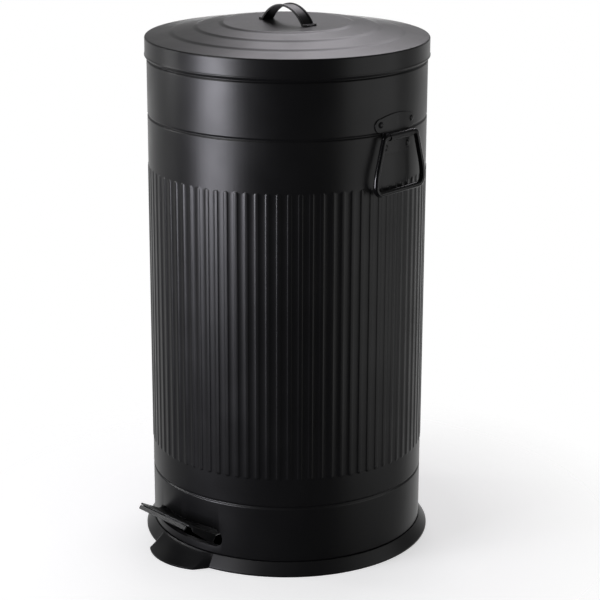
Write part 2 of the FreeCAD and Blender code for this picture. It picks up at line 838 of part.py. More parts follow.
def crank_slot_half_width():
    """Half width of the crank's slot: the pin, plus what its straight lift strays from the slot."""
    steps = 40
    stray = 0.0
    for step in range(steps + 1):
        turn = math.radians(crank_half_angle * step / steps)
        lift = rod_lift / 2.0 * step / steps
        stray = max(stray, abs(crank_reach * math.tan(turn) - lift) * math.cos(turn))
    return rod_radius + stray + rod_slot_clearance


def lid_crank():
    """Curved crank under the lid: it clears the body's rim and takes the push rod's pin in a slot."""
    slot_radius = crank_slot_half_width()
    slot_turn = rear + crank_half_angle
    near = crank_reach - rod_slot_end
    far = crank_reach / math.cos(math.radians(crank_half_angle)) + rod_slot_end
    inner = near - slot_radius - crank_wall
    outer = far + slot_radius + crank_wall
    low_turn = slot_turn + math.degrees((slot_radius + crank_wall) / far)
    high_turn = crank_root_angle
    middle_turn = (low_turn + high_turn) / 2.0
    half = crank_sheet / 2.0
    arm = plate_x(
        -half, half, on_knuckle(high_turn, outer),
        (on_knuckle(middle_turn, outer), on_knuckle(low_turn, outer)), on_knuckle(low_turn, inner),
        (on_knuckle(middle_turn, inner), on_knuckle(high_turn, inner)))
    edge_y = lid_radius - lid_edge_fillet
    slope = lid_slope_rises[0] / (edge_y - lid_ring_radii[0] - lid_step_run / 2.0)
    foot_end = body_radius - rim_bead_radius * 2.0
    foot_start = foot_end - crank_foot_length
    under_z = lid_crease_z - lid_sheet - crank_foot_sheet
    foot = plate_x(
        -crank_foot_half_width, crank_foot_half_width,
        (foot_start, under_z + slope * (edge_y - foot_start)),
        (foot_end, under_z + slope * (edge_y - foot_end)),
        (foot_end, lid_flat_z), (foot_start, lid_flat_z))
    slot = slot_x(on_knuckle(slot_turn, near), on_knuckle(slot_turn, far), slot_radius, -half, half)
    return joined(arm, foot).common(space_under_lid()).cut(slot)


# Push rod
def push_rod():
    """Straight rod with both ends bent over as pins, one in the lever and one in the crank."""
    lever_end = lever_sheet / 2.0 + clip_gap + clip_length + rod_pin_overrun
    crank_end = crank_sheet / 2.0 + clip_gap + clip_length + rod_pin_overrun
    points = [FreeCAD.Vector(lever_end, rod_y, rod_low_z), FreeCAD.Vector(rod_x, rod_y, rod_low_z),
              FreeCAD.Vector(rod_x, rod_y, rod_top_z), FreeCAD.Vector(crank_end, rod_y, rod_top_z)]
    return wire_form(points, [rod_bend, rod_bend], rod_radius)


def rod_clips():
    """Push-on clips that keep the rod's pins in the lever and in the crank."""
    clips = []
    for plate, z in ((lever_sheet, rod_low_z), (crank_sheet, rod_top_z)):
        start = plate / 2.0 + clip_gap
        ends = ((start, rod_y, z), (start + clip_length, rod_y, z))
        clips.append(bar(*ends, clip_radius).cut(bar(*ends, rod_radius + clip_bore_clearance)))
    return Part.makeCompound(clips)


def rod_bush():
    """Plastic bush that guides the rod through the floor plate."""
    flange = bush_radius + bush_flange
    under = floor_low_z - bush_flange
    over = floor_top_z + bush_flange
    body = bar((rod_x, rod_y, under), (rod_x, rod_y, over), bush_radius)
    low = bar((rod_x, rod_y, under), (rod_x, rod_y, floor_low_z), flange)
    high = bar((rod_x, rod_y, floor_top_z), (rod_x, rod_y, over), flange)
    bore = bar((rod_x, rod_y, under), (rod_x, rod_y, over), rod_radius + bush_clearance)
    return joined(body, low, high).cut(bore)


def rod_guide():
    """Angle bracket on the rear wall that steadies the rod below the bucket's rim."""
    wall = body_inside - handle_plate_gap
    low_x = rod_x - guide_half_width
    high_x = rod_x + guide_half_width
    shelf = box((low_x, rod_y - guide_nose, guide_z - guide_sheet), (high_x, body_radius, guide_z))
    flange = box((low_x, 0, guide_z - guide_flange), (high_x, body_radius, guide_z))
    flange = flange.cut(drum(wall - guide_sheet, guide_z - guide_flange, guide_z))
    angle = joined(shelf, flange).common(drum(wall, guide_z - guide_flange, guide_z))
    bore = bar((rod_x, rod_y, guide_z - guide_flange), (rod_x, rod_y, guide_z + guide_flange),
               rod_radius + bush_clearance)
    return cut_all(angle.cut(bore), rivet_holes(guide_rivet_places(), guide_grip))


# Pedal
def tread_side(thickness, front_y, drop):
    """Side view of a bent plate under the tread's top line, as points of y and z."""
    slope = (tread_front_z - tread_deck_z) / (tread_neck_y - tread_front_y)
    front_z = tread_deck_z + slope * (tread_neck_y - front_y)
    return [(front_y, front_z - drop), (tread_neck_y, tread_deck_z - drop),
            (tread_tail_y, tread_deck_z - drop), (tread_tail_y, tread_deck_z - drop - thickness),
            (tread_neck_y, tread_deck_z - drop - thickness), (front_y, front_z - drop - thickness)]


def tread_plan(inset):
    """Plan of the tread as points of x and y, drawn in by an inset."""
    front = tread_front_half_width - inset
    neck = tread_half_width - inset
    front_y = tread_front_y + inset
    tail_y = tread_tail_y + max(inset, 0.0) * reach_past
    return [(-front, front_y), (front, front_y), (neck, tread_neck_y), (neck, tail_y),
            (-neck, tail_y), (-neck, tread_neck_y)]


def pedal_tread():
    """Folded tread: a deck that slopes up to a front lip, side skirts and two pivot cheeks."""
    low_z = 0.0
    high_z = tread_front_z + reach_past
    plan = plate_z(low_z, high_z, *tread_plan(0.0))
    upright = [edge for edge in plan.Edges if abs(edge.tangentAt(0).z) > along_axis]
    corners = [edge for edge in upright if edge.Vertexes[0].Y < tread_front_y + tread_corner]
    plan = plan.makeFillet(tread_corner, corners)
    hollow = plate_z(low_z, high_z, *tread_plan(tread_sheet))
    deck = plate_x(-tread_half_width, tread_half_width, *tread_side(tread_sheet, tread_front_y, 0.0))
    lip_z = tread_front_z - tread_lip
    skirt = plate_x(
        -tread_half_width, tread_half_width,
        (tread_front_y, tread_front_z), (tread_front_y, lip_z),
        (tread_front_y + tread_sheet, lip_z), (tread_neck_y, tread_skirt_low_z),
        (tread_neck_y, tread_deck_z))
    inner_y = wall_y + tread_wall_gap
    cheek = plate_x(
        -tread_half_width, tread_half_width,
        (inner_y, tread_deck_z), (inner_y, tread_under_z - tread_sheet),
        (pivot_y - tread_tail, tread_cheek_low_z), (tread_tail_y, tread_cheek_low_z),
        (tread_tail_y, tread_deck_z))
    walls = joined(skirt, cheek).common(plan.cut(hollow))
    tread = joined(deck.common(plan), walls)
    pivot = bar((-cheek_outside, pivot_y, pivot_z), (cheek_outside, pivot_y, pivot_z),
                pivot_radius + pivot_clearance)
    return cut_all(tread, [pivot] + rivet_holes(tread_rivet_places(), tread_grip))


def pedal_lever():
    """Lever from the tread back to the push rod: a bent flange with a web on edge."""
    half = lever_sheet / 2.0
    flange_front = tread_front_y + lever_flange_reach
    flange = plate_x(
        -lever_flange_half_width, lever_flange_half_width,
        *tread_side(lever_flange_sheet, flange_front, tread_sheet))
    flange_low_z = tread_under_z - lever_flange_sheet
    rise = lever_height / 2.0
    end_y = rod_y + lever_tail
    slope = (rod_low_z - pivot_z) / lever_arm
    end_z = pivot_z + slope * (end_y - pivot_y)
    nose_y = wall_y + 2.0 * tread_wall_gap
    web = plate_x(
        -half, half, (nose_y, flange_low_z), (tread_tail_y, flange_low_z),
        (tread_tail_y + tread_tail, pivot_z + slope * 2.0 * tread_tail + rise), (end_y, end_z + rise),
        (end_y, end_z - rise), (pivot_y - tread_tail, pivot_z - rise),
        (nose_y, flange_low_z - tread_sheet))
    pivot = bar((-half, pivot_y, pivot_z), (half, pivot_y, pivot_z), pivot_radius + pivot_clearance)
    highest = max(abs(lever_rest_angle), abs(lever_rest_angle + pedal_swing))
    far = lever_arm / math.cos(highest) + rod_slot_end
    near = lever_arm - rod_slot_end
    slot_radius = rod_radius + rod_slot_clearance + clip_gap
    tilt = math.atan(slope)

    def along(reach):
        return (pivot_y + reach * math.cos(tilt), pivot_z + reach * math.sin(tilt))

    slot = slot_x(along(near), along(far), slot_radius, -half, half)
    lever = joined(flange, web)
    return cut_all(lever, [pivot, slot] + rivet_holes(tread_rivet_places(), tread_grip))


def pedal_bracket():
    """U-shaped bracket under the floor plate that carries the pedal's pivot pin."""
    half = bracket_length / 2.0
    top_z = floor_low_z
    top = box((-cheek_outside, pivot_y - half, top_z - bracket_sheet),
              (cheek_outside, pivot_y + half, top_z))
    pieces = [top]
    for low_x, high_x in ((-cheek_outside, -cheek_inside), (cheek_inside, cheek_outside)):
        pieces.append(plate_x(
            low_x, high_x, (pivot_y - half, top_z), (pivot_y - bracket_ear, pivot_z),
            ((pivot_y, pivot_z - bracket_ear), (pivot_y + bracket_ear, pivot_z)), (pivot_y + half, top_z)))
    pivot = bar((-cheek_outside, pivot_y, pivot_z), (cheek_outside, pivot_y, pivot_z),
                pivot_radius + pivot_clearance)
    return cut_all(joined(*pieces), [pivot] + rivet_holes(bracket_rivet_places(), bracket_grip))


def pedal_pivot_pin():
    """Pin across the bracket that the pedal turns on, with a head at one end."""
    start = -cheek_outside - clip_gap
    end = cheek_outside + clip_gap + clip_length + rod_pin_overrun
    head_start = (start - pivot_head_height, pivot_y, pivot_z)
    pin = bar(head_start, (end, pivot_y, pivot_z), pivot_radius)
    head = bar(head_start, (start, pivot_y, pivot_z), pivot_head_radius)
    return joined(pin, head)


def pivot_clip():
    """Push-on clip at the free end of the pivot pin."""
    start = cheek_outside + clip_gap
    ends = ((start, pivot_y, pivot_z), (start + clip_length, pivot_y, pivot_z))
    return bar(*ends, pivot_head_radius).cut(bar(*ends, pivot_radius + clip_bore_clearance))


# Drop handles
def handle_frame(side):
    """Functions that place a point of a handle, by its spread along the wall, height and depth."""
    normal = outward(side * handle_angle)
    along = FreeCAD.Vector(-normal.y, normal.x, 0)

    def place(spread, z, depth):
        return along * spread + normal * depth + FreeCAD.Vector(0, 0, z)

    return normal, place


def handle_plate(side):
    """Curved plate riveted to the body, with a rolled ridge that the bail turns in."""
    normal, place = handle_frame(side)
    start = body_radius - reach_past
    depth = normal * (2.0 * reach_past)

    def slab(steps):
        return outline(lambda spread, z: place(spread, z, start), steps).extrude(depth)

    band_z = handle_z + handle_band_lift
    low_z = band_z - handle_band_radius
    high_z = band_z + handle_band_radius
    straight = handle_band_half_width - handle_band_radius
    band = slab([
        (-straight, low_z), (straight, low_z), ((handle_band_half_width, band_z), (straight, high_z)),
        ((0, high_z + handle_band_crown), (-straight, high_z)),
        ((-handle_band_half_width, band_z), (-straight, low_z))])
    tab_low = handle_z - handle_tab_depth
    corner = handle_tab_corner
    bend = corner * (1.0 - mid_arc)
    half = handle_tab_half_width
    tab = slab([
        (half, band_z), (-half, band_z), (-half, tab_low + corner),
        ((-half + bend, tab_low + bend), (-half + corner, tab_low)), (half - corner, tab_low),
        ((half - bend, tab_low + bend), (half, tab_low + corner))])
    sheet_hoop = hoop(plate_inside, plate_outside, tab_low - corner, high_z + corner)
    plate = joined(band, tab).common(sheet_hoop)
    reach = handle_ridge_half_length
    ends = [place(hand * reach, handle_z, handle_pivot_radius) for hand in (-1, 1)]
    ridge = bar(ends[0], ends[1], handle_ridge_radius)
    saddle_low = handle_z - handle_ridge_radius * mid_arc
    saddle_high = handle_z + handle_ridge_radius * mid_arc
    saddle = outline(lambda spread, z: place(spread, z, handle_pivot_radius - reach_past), [
        (-reach, saddle_low), (reach, saddle_low), (reach, saddle_high), (-reach, saddle_high)])
    saddle = saddle.extrude(normal * reach_past)
    wall = drum(plate_inside, tab_low - corner, high_z + corner)
    whole = joined(plate, joined(ridge, saddle).cut(wall))
    bore = bar(ends[0], ends[1], bail_radius + bail_clearance)
    return cut_all(whole, [bore] + rivet_holes(handle_rivet_places(side), handle_grip))


def bail(side):
    """Bent wire bail whose two ends turn in the plate's ridge."""
    place = handle_frame(side)[1]
    low_z = handle_z - bail_length

    def point(spread, z):
        return place(spread, z, handle_pivot_radius)

    points = [
        point(-bail_stub_start, handle_z), point(-bail_top_half_width, handle_z),
        point(-bail_low_half_width, low_z), point(bail_low_half_width, low_z),
        point(bail_top_half_width, handle_z), point(bail_stub_start, handle_z)]
    return wire_form(points, [bail_top_bend, bail_low_bend, bail_low_bend, bail_top_bend], bail_radius)


# Bucket
def inner_bucket():
    """Lift-out bucket: tapered wall, foot ring, turned rim and two ears for its bail."""
    under_z = floor_top_z + bucket_foot_height
    base_inside = bucket_base_radius - bucket_wall
    lip_z = bucket_top_z - bucket_lip_height
    bucket = turned(
        (0, under_z), (bucket_base_radius - bucket_foot_width, under_z),
        (bucket_base_radius - bucket_foot_width, floor_top_z), (bucket_base_radius, floor_top_z),
        (bucket_neck_radius, lip_z), (bucket_rim_radius, lip_z), (bucket_rim_radius, bucket_top_z),
        (bucket_neck_radius - bucket_wall, bucket_top_z), (base_inside, under_z + bucket_bottom),
        (0, under_z + bucket_bottom))
    pieces = [bucket]
    inner = bucket_bail_centre_radius() - bucket_bail_bend - bucket_ear_width
    for hand in (-1, 1):
        near = sorted((hand * inner, hand * (inner + bucket_ear_width)))
        wide = sorted((hand * inner, hand * (bucket_neck_radius - bucket_wall / 2.0)))
        y_low = bucket_ear_y - bucket_ear_half_length
        y_high = bucket_ear_y + bucket_ear_half_length
        bottom = bucket_top_z - bucket_ear_depth
        pieces.append(box((near[0], y_low, bottom), (near[1], y_high, bucket_top_z + bucket_ear_rise)))
        pieces.append(box((wide[0], y_low, bottom), (wide[1], y_high, lip_z)))
    reach = bucket_rim_radius
    hole = bar((-reach, bucket_ear_y, bucket_bail_z()), (reach, bucket_ear_y, bucket_bail_z()),
               bucket_bail_radius + bail_clearance)
    return joined(*pieces).cut(hole)


def bucket_bail_z():
    """Height of the bucket's bail where it lies folded on the rim."""
    return bucket_top_z + bucket_bail_gap + bucket_bail_radius


def bucket_bail_centre_radius():
    """Radius of the folded bail, over the middle of the bucket's rim."""
    return (bucket_rim_radius + bucket_neck_radius) / 2.0


def bucket_bail():
    """Wire bail of the bucket, folded forward on its rim with both ends in the ears."""
    z = bucket_bail_z()
    radius = bucket_bail_centre_radius()
    bend = bucket_bail_bend
    stub = radius - bend - 2.0 * bucket_ear_width
    corner = bend * (1.0 - mid_arc)

    def point(x, y):
        return FreeCAD.Vector(x, y, z)

    edges = [
        Part.makeLine(point(stub, bucket_ear_y), point(radius - bend, bucket_ear_y)),
        Part.Arc(point(radius - bend, bucket_ear_y), point(radius - corner, bucket_ear_y - corner),
                 point(radius, bucket_ear_y - bend)).toShape(),
        Part.makeLine(point(radius, bucket_ear_y - bend), point(radius, 0)),
        Part.Arc(point(radius, 0), point(0, -radius), point(-radius, 0)).toShape(),
        Part.makeLine(point(-radius, 0), point(-radius, bucket_ear_y - bend)),
        Part.Arc(point(-radius, bucket_ear_y - bend), point(corner - radius, bucket_ear_y - corner),
                 point(bend - radius, bucket_ear_y)).toShape(),
        Part.makeLine(point(bend - radius, bucket_ear_y), point(-stub, bucket_ear_y))]
    start = point(stub, bucket_ear_y)
    section = Part.Wire(Part.makeCircle(bucket_bail_radius, start, FreeCAD.Vector(1, 0, 0)))
    return Part.Wire(edges).makePipeShell([section], True, False)


pieces = {
    "body_shell": body_shell(),
    "body_floor": body_floor(),
    "base_ring": base_ring(),
    "toe": toe(),
    "toe_screws": toe_screws(),
    "inner_bucket": inner_bucket(),
    "bucket_bail": bucket_bail(),
    "pedal_bracket": pedal_bracket(),
    "pedal_bracket_rivets": rivets(bracket_rivet_places(), bracket_grip),
    "pedal_pivot_pin": pedal_pivot_pin(),
    "pivot_clip": pivot_clip(),
    "pedal_tread": pedal_tread(),
    "pedal_lever": pedal_lever(),
    "tread_rivets": rivets(tread_rivet_places(), tread_grip),
    "push_rod": push_rod(),
    "rod_clips": rod_clips(),
    "rod_bush": rod_bush(),
    "rod_guide": rod_guide(),
    "rod_guide_rivets": rivets(guide_rivet_places(), guide_grip),
    "hinge_bracket": hinge_bracket(),
    "hinge_bracket_rivets": rivets(hinge_rivet_places(), hinge_grip),
    "hinge_pin": hinge_pin(),
    "lid_shell": lid_shell(),
    "lid_handle": lid_handle(),
    "lid_hinge_leaf": lid_hinge_leaf(),
    "lid_leaf_rivets": rivets(leaf_rivet_places(), leaf_grip),
    "lid_crank": lid_crank(),
    "lid_bumpers": lid_bumpers(),
}
for hand_name, side in (("right", 1), ("left", -1)):
    pieces["handle_plate_" + hand_name] = handle_plate(side)
    pieces["handle_rivets_" + hand_name] = rivets(handle_rivet_places(side), handle_grip)
    pieces["bail_" + hand_name] = bail(side)

for name, shape in pieces.items():
    shape.exportStep("parts/" + name + ".step")
    print(name, len(shape.Solids), shape.isValid(), round(shape.Volume, 1))

print("lid opens", lid_open_angle, "degrees about y", hinge_y, "z", hinge_z)
print("rod lifts", round(rod_lift, 4), "mm, pedal turns", round(math.degrees(pedal_swing), 4), "degrees")
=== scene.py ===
# %% [markdown]
# # A round pedal bin in black enamel
# The bin's construction is already fixed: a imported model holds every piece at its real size.
# This lesson opens that model as a frame, models the visible shells again with soft edges and fine
# ribs, and gives each surface its finish. Everything is in metres, +Z is up and the pedal is at -Y.

# %% Open the frame
import math

import bmesh
import bpy
from mathutils import Matrix, Vector


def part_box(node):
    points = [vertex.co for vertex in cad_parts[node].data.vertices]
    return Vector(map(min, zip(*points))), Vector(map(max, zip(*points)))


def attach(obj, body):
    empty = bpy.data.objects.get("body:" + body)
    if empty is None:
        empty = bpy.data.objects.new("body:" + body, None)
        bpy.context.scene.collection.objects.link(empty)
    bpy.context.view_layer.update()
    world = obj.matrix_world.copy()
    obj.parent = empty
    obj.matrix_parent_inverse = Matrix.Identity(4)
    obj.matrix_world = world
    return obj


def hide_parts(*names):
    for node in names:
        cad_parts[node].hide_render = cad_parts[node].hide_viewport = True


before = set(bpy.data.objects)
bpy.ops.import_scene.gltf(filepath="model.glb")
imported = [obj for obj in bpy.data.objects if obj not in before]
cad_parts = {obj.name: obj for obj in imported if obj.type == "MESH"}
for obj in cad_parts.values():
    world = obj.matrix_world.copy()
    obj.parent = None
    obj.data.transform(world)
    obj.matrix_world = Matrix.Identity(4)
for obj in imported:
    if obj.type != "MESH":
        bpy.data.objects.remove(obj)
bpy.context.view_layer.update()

mm = 0.001

# %% [markdown]
# ## Round edges
# Sheet metal and mouldings never have knife edges, so most pieces end with a bevel. A Bevel modifier
# could do that live, but it would be evaluated again for every view. Here the bevel is part of the
# mesh, and it takes only the edges that are sharper than a given angle.

# %% Helpers that round and close a shape
merge_distance = 0.002 * mm


def rounded(shape, parts, width, segments, affect="EDGES", clamp=False):
    """Bevel edges or corners with a round profile."""
    bmesh.ops.bevel(shape, geom=parts, offset=width, offset_type="OFFSET", segments=segments, profile=0.5,
                    affect=affect, clamp_overlap=clamp, material=-1)


def soften(shape, width, segments=2, sharper_than=25.0):
    """Round each edge whose faces meet at more than an angle in degrees."""
    limit = math.radians(sharper_than)
    sharp = [edge for edge in shape.edges if edge.is_manifold and edge.calc_face_angle() > limit]
    rounded(shape, sharp, width, segments, clamp=True)


def close_up(shape):
    """Merge doubles, fill open ends and turn every face outwards."""
    bmesh.ops.remove_doubles(shape, verts=shape.verts, dist=merge_distance)
    rims = [edge for edge in shape.edges if edge.is_boundary]
    if rims:
        bmesh.ops.holes_fill(shape, edges=rims, sides=0)
    bmesh.ops.recalc_face_normals(shape, faces=shape.faces)
    return shape


# %% [markdown]
# ## Paint skin
# Sprayed enamel is never quite flat: it dries with a faint orange peel about a millimetre across, and
# hands leave broad patches that are a little smoother or duller. Two noises give that. They are in one
# node group, because every painted piece has them, each with its own scale and strength.


# %% Helpers for shader nodes
def new_group(name, inputs, outputs):
    """Empty shader node group with named number sockets, and its input and output nodes."""
    group = bpy.data.node_groups.new(name, "ShaderNodeTree")
    for label, value in inputs.items():
        socket = group.interface.new_socket(label, in_out="INPUT", socket_type="NodeSocketFloat")
        socket.default_value = value
    for label in outputs:
        group.interface.new_socket(label, in_out="OUTPUT", socket_type="NodeSocketFloat")
    return group, group.nodes.new("NodeGroupInput"), group.nodes.new("NodeGroupOutput")


def feed(tree, socket, value):
    """Give an input socket a plain value, or link it to an output socket."""
    if isinstance(value, bpy.types.NodeSocket):
        tree.links.new(value, socket)
    else:
        socket.default_value = value


def fed(tree, kind, *values, **settings):
    """New node with its settings made and its first inputs fed in order."""
    node = tree.nodes.new(kind)
    for name, setting in settings.items():
        setattr(node, name, setting)
    for socket, value in zip(node.inputs, values):
        feed(tree, socket, value)
    return node


def noise(group, coordinates, scale, detail):
    """Noise node on a coordinate socket, with its scale from a number or from a socket."""
    node = group.nodes.new("ShaderNodeTexNoise")
    for label, value in (("Vector", coordinates), ("Scale", scale), ("Detail", detail)):
        feed(group, node.inputs[label], value)
    return node.outputs["Fac"]


def ranged(group, value, given, wanted=(0.0, 1.0)):
    """Map Range node that turns one range of numbers into another, clamped."""
    node = group.nodes.new("ShaderNodeMapRange")
    labels = ("Value", "From Min", "From Max", "To Min", "To Max")
    for label, number in zip(labels, (value, *given, *wanted)):
        feed(group, node.inputs[label], number)
    return node.outputs["Result"]


def math_of(group, operation, first, second):
    """Math node of two values, each a number or a socket."""
    return fed(group, "ShaderNodeMath", first, second, operation=operation).outputs[0]


# %% Orange peel and hand marks
patch_scale = 14.0
mark_band = (0.42, 0.68)


def make_skin_group():
    """Orange peel as a height, and broad hand marks as a mask."""
    group, given, out = new_group("paint_skin", {"Peel Scale": 700.0}, ("Height", "Marks"))
    place = group.nodes.new("ShaderNodeTexCoord").outputs["Object"]
    peel = noise(group, place, given.outputs["Peel Scale"], detail=2.0)
    patches = noise(group, place, patch_scale, detail=3.0)
    group.links.new(peel, out.inputs["Height"])
    group.links.new(ranged(group, patches, mark_band), out.inputs["Marks"])
    return group


paint_skin = make_skin_group()
print("node group", paint_skin.name)

# %% [markdown]
# ## Dust, worn edges and painted sheen
# Dust lies only where a face looks up, in small clumps, and hands and shoes polish the edges that stand
# out. Along the same sharp edges the colour is also lifted, which is painted sheen, a painted highlight.
# Painting both by hand would need a picture for each piece. The shader knows which way a face
# looks and how sharply the surface bends, so two more node groups work both out for any piece.

# %% Settled dust
dust_upward = (0.75, 1.0)
clump_scale = 260.0
clump_band = (0.45, 0.75)


def make_dust_group():
    """Dust that settles on faces that look up, broken by a fine noise."""
    group, given, out = new_group("settled_dust", {"Amount": 0.3}, ("Dust",))
    place = group.nodes.new("ShaderNodeTexCoord").outputs["Object"]
    normal = group.nodes.new("ShaderNodeNewGeometry").outputs["Normal"]
    split = fed(group, "ShaderNodeSeparateXYZ", normal)
    upward = ranged(group, split.outputs["Z"], dust_upward)
    clumps = ranged(group, noise(group, place, clump_scale, detail=6.0), clump_band)
    settled = math_of(group, "MULTIPLY", upward, clumps)
    group.links.new(math_of(group, "MULTIPLY", settled, given.outputs["Amount"]), out.inputs["Dust"])
    return group


settled_dust = make_dust_group()
print("node group", settled_dust.name)

# %% Worn edges and painted sheen
edge_bend = (0.53, 0.60)
edge_noise_scale = 120.0
edge_noise_band = (0.35, 0.7)
edge_noise_share = (0.3, 1.0)


def make_rub_and_sheen_group():
    """Worn edges and painted sheen: where the surface bends outwards sharply, paint thins and is polished,
    and its colour is lifted as a painted highlight.
    """
    group, given, out = new_group("rubbed_edges_and_sheen", {"Amount": 0.5}, ("Rub And Sheen",))
    place = group.nodes.new("ShaderNodeTexCoord").outputs["Object"]
    bend = group.nodes.new("ShaderNodeNewGeometry").outputs["Pointiness"]
    sharp = ranged(group, bend, edge_bend)
    broken = ranged(group, noise(group, place, edge_noise_scale, detail=4.0), edge_noise_band, edge_noise_share)
    rubbed_and_sheened = math_of(group, "MULTIPLY", sharp, broken)
    group.links.new(math_of(group, "MULTIPLY", rubbed_and_sheened, given.outputs["Amount"]), out.inputs["Rub And Sheen"])
    return group


rubbed_edges_and_sheen = make_rub_and_sheen_group()
print("node group", rubbed_edges_and_sheen.name)

# %% [markdown]
# ## Finishes
# All the finishes are opaque, so one function makes them from a table of looks. Dust and the edge mask
# lighten the slot's own colour a little: the dust is real, and the lift along sharp edges is painted sheen,
# a painted highlight. The roughness follows the hand marks. What is the same all over, such as metallic,
# stays a plain number on the shader.


# %% Helpers for a finish
def placed(tree, group, **values):
    """Node that places a group in a material, with its input values."""
    node = tree.nodes.new("ShaderNodeGroup")
    node.node_tree = group
    for label, value in values.items():
        node.inputs[label.replace("_", " ")].default_value = value
    return node


def tinted(tree, base, mask, tint):
    """Mix node from a colour, or the socket of one, to a tint where a mask asks for it."""
    mix = fed(tree, "ShaderNodeMix", data_type="RGBA")
    for label, value in (("Factor", mask), ("A", base), ("B", tint)):
        feed(tree, mix.inputs[label], value)
    return mix.outputs["Result"]


# %% One finish from its look
hand_marks = 0.03
# Gain and lift of the colour along sharp edges: a painted sheen, a painted highlight.
sheen_gain = 2.6
sheen_lift = 0.01
rub_polish = 0.12
dust_grey = (0.11, 0.105, 0.10, 1.0)


def make_finish(slot, colour, roughness, peel_scale, peel_depth, dust=0.1, rub_and_sheen=0.4, metallic=0.0):
    """Opaque finish with a textured skin, hand marks, dust, and worn edges with a painted sheen."""
    material = bpy.data.materials.new(slot)
    material.use_nodes = True
    tree = material.node_tree
    shader = tree.nodes["Principled BSDF"]
    shader.inputs["Metallic"].default_value = metallic
    skin = placed(tree, paint_skin, Peel_Scale=peel_scale)
    dusty = placed(tree, settled_dust, Amount=dust)
    edges = placed(tree, rubbed_edges_and_sheen, Amount=rub_and_sheen)
    # Along sharp edges the colour is lifted to a paler tone: a painted sheen, a painted highlight.
    sheen_colour = [min(1.0, sheen_gain * value + sheen_lift) for value in colour]
    rubbed_and_sheened = tinted(tree, (*colour, 1.0), edges.outputs["Rub And Sheen"], (*sheen_colour, 1.0))
    tree.links.new(tinted(tree, rubbed_and_sheened, dusty.outputs["Dust"], dust_grey), shader.inputs["Base Color"])
    spread = (roughness - hand_marks, roughness + hand_marks)
    dulled = ranged(tree, skin.outputs["Marks"], (0.0, 1.0), spread)
    dusted = math_of(tree, "ADD", dulled, dusty.outputs["Dust"])
    polished = math_of(tree, "MULTIPLY", edges.outputs["Rub And Sheen"], -rub_polish)
    tree.links.new(math_of(tree, "ADD", dusted, polished), shader.inputs["Roughness"])
    bump = tree.nodes.new("ShaderNodeBump")
    bump.inputs["Distance"].default_value = peel_depth
    tree.links.new(skin.outputs["Height"], bump.inputs["Height"])
    tree.links.new(bump.outputs["Normal"], shader.inputs["Normal"])
    return material


# %% Looks of all the slots
looks = {
    "body_paint": dict(colour=(0.006, 0.006, 0.0065), roughness=0.36,
                       peel_scale=700.0, peel_depth=0.012 * mm, dust=0.02),
    "trim_paint": dict(colour=(0.006, 0.006, 0.0065), roughness=0.33,
                       peel_scale=800.0, peel_depth=0.010 * mm, dust=0.02),
    "tread_paint": dict(colour=(0.007, 0.007, 0.0075), roughness=0.36,
                        peel_scale=600.0, peel_depth=0.015 * mm, dust=0.03, rub_and_sheen=0.7),
    "wire_paint": dict(colour=(0.005, 0.005, 0.0055), roughness=0.16,
                       peel_scale=900.0, peel_depth=0.008 * mm, dust=0.02),
    "base_plastic": dict(colour=(0.005, 0.005, 0.0054), roughness=0.40,
                         peel_scale=1500.0, peel_depth=0.025 * mm, dust=0.02),
    "bucket_plastic": dict(colour=(0.022, 0.022, 0.023), roughness=0.45,
                           peel_scale=1400.0, peel_depth=0.03 * mm),
    "bush_plastic": dict(colour=(0.6, 0.6, 0.57), roughness=0.42,
                         peel_scale=1200.0, peel_depth=0.02 * mm, rub_and_sheen=0.0),
    "zinc_steel": dict(colour=(0.56, 0.565, 0.58), roughness=0.34,
                       peel_scale=350.0, peel_depth=0.02 * mm, rub_and_sheen=0.0, metallic=1.0),
    "bucket_wire": dict(colour=(0.58, 0.585, 0.6), roughness=0.28,
                        peel_scale=500.0, peel_depth=0.01 * mm, rub_and_sheen=0.0, metallic=1.0),
    "bumper_rubber": dict(colour=(0.015, 0.015, 0.015), roughness=0.7,
                          peel_scale=900.0, peel_depth=0.03 * mm),
}
finishes = {slot: make_finish(slot, **look) for slot, look in looks.items()}
print("finishes", sorted(finishes))

# %% [markdown]
# ## Frame pieces that stay
# Rivets, pins, brackets, the linkage and the bucket are right as the frame has them. They keep their
# meshes and only change their finish: the old material in each node names its slot.

# %% Give every frame node its finish
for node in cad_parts.values():
    for place, old in enumerate(node.data.materials):
        slot = next(slot for slot in finishes if old.name.startswith(slot))
        node.data.materials[place] = finishes[slot]
print("frame nodes with a finish", len(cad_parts))

# %% [markdown]
# ## From a shape to a piece
# Every new piece is handed over in the same way. Its shape becomes an object at the origin that shades
# smooth up to an angle, moves with one body, stands for the frame's plain solid and takes a finish.


# %% Helpers that make objects and pieces
def shown(name, data):
    """New object at the origin, linked to the scene."""
    thing = bpy.data.objects.new(name, data)
    bpy.context.scene.collection.objects.link(thing)
    return thing


def shown_shape(name, shape):
    """New object with the mesh of a bmesh, which is freed."""
    mesh = bpy.data.meshes.new(name)
    shape.to_mesh(mesh)
    shape.free()
    return shown(name, mesh)


def finish_piece(name, shape, body, nodes, slot, sharp_above=40.0, even=True):
    """Make a piece from a bmesh: it rides on a body, stands for CAD nodes and takes a slot's finish."""
    piece = shown_shape(name, shape)
    mesh = piece.data
    mesh.shade_smooth()
    mesh.set_sharp_from_angle(angle=math.radians(sharp_above))
    mesh.materials.append(finishes[slot])
    if even:
        shading = piece.modifiers.new("even_shading", "WEIGHTED_NORMAL")
        shading.keep_sharp = True
    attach(piece, body)
    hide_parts(*nodes)
    mesh.calc_loop_triangles()
    print(name, "on", body, "has", len(mesh.loop_triangles), "triangles")


# %% [markdown]
# ## Body shell
# The real wall is one rolled sheet. Two grooves stiffen it, two more lines mark where the lid and the
# base ring begin, 84 flat ribs are pressed outwards, and the upper edge is curled into a bead. A
# displacement texture would need millions of faces to hold such ribs. Instead one narrow sector with a
# single rib is built, column by column, and then spun round as copies.

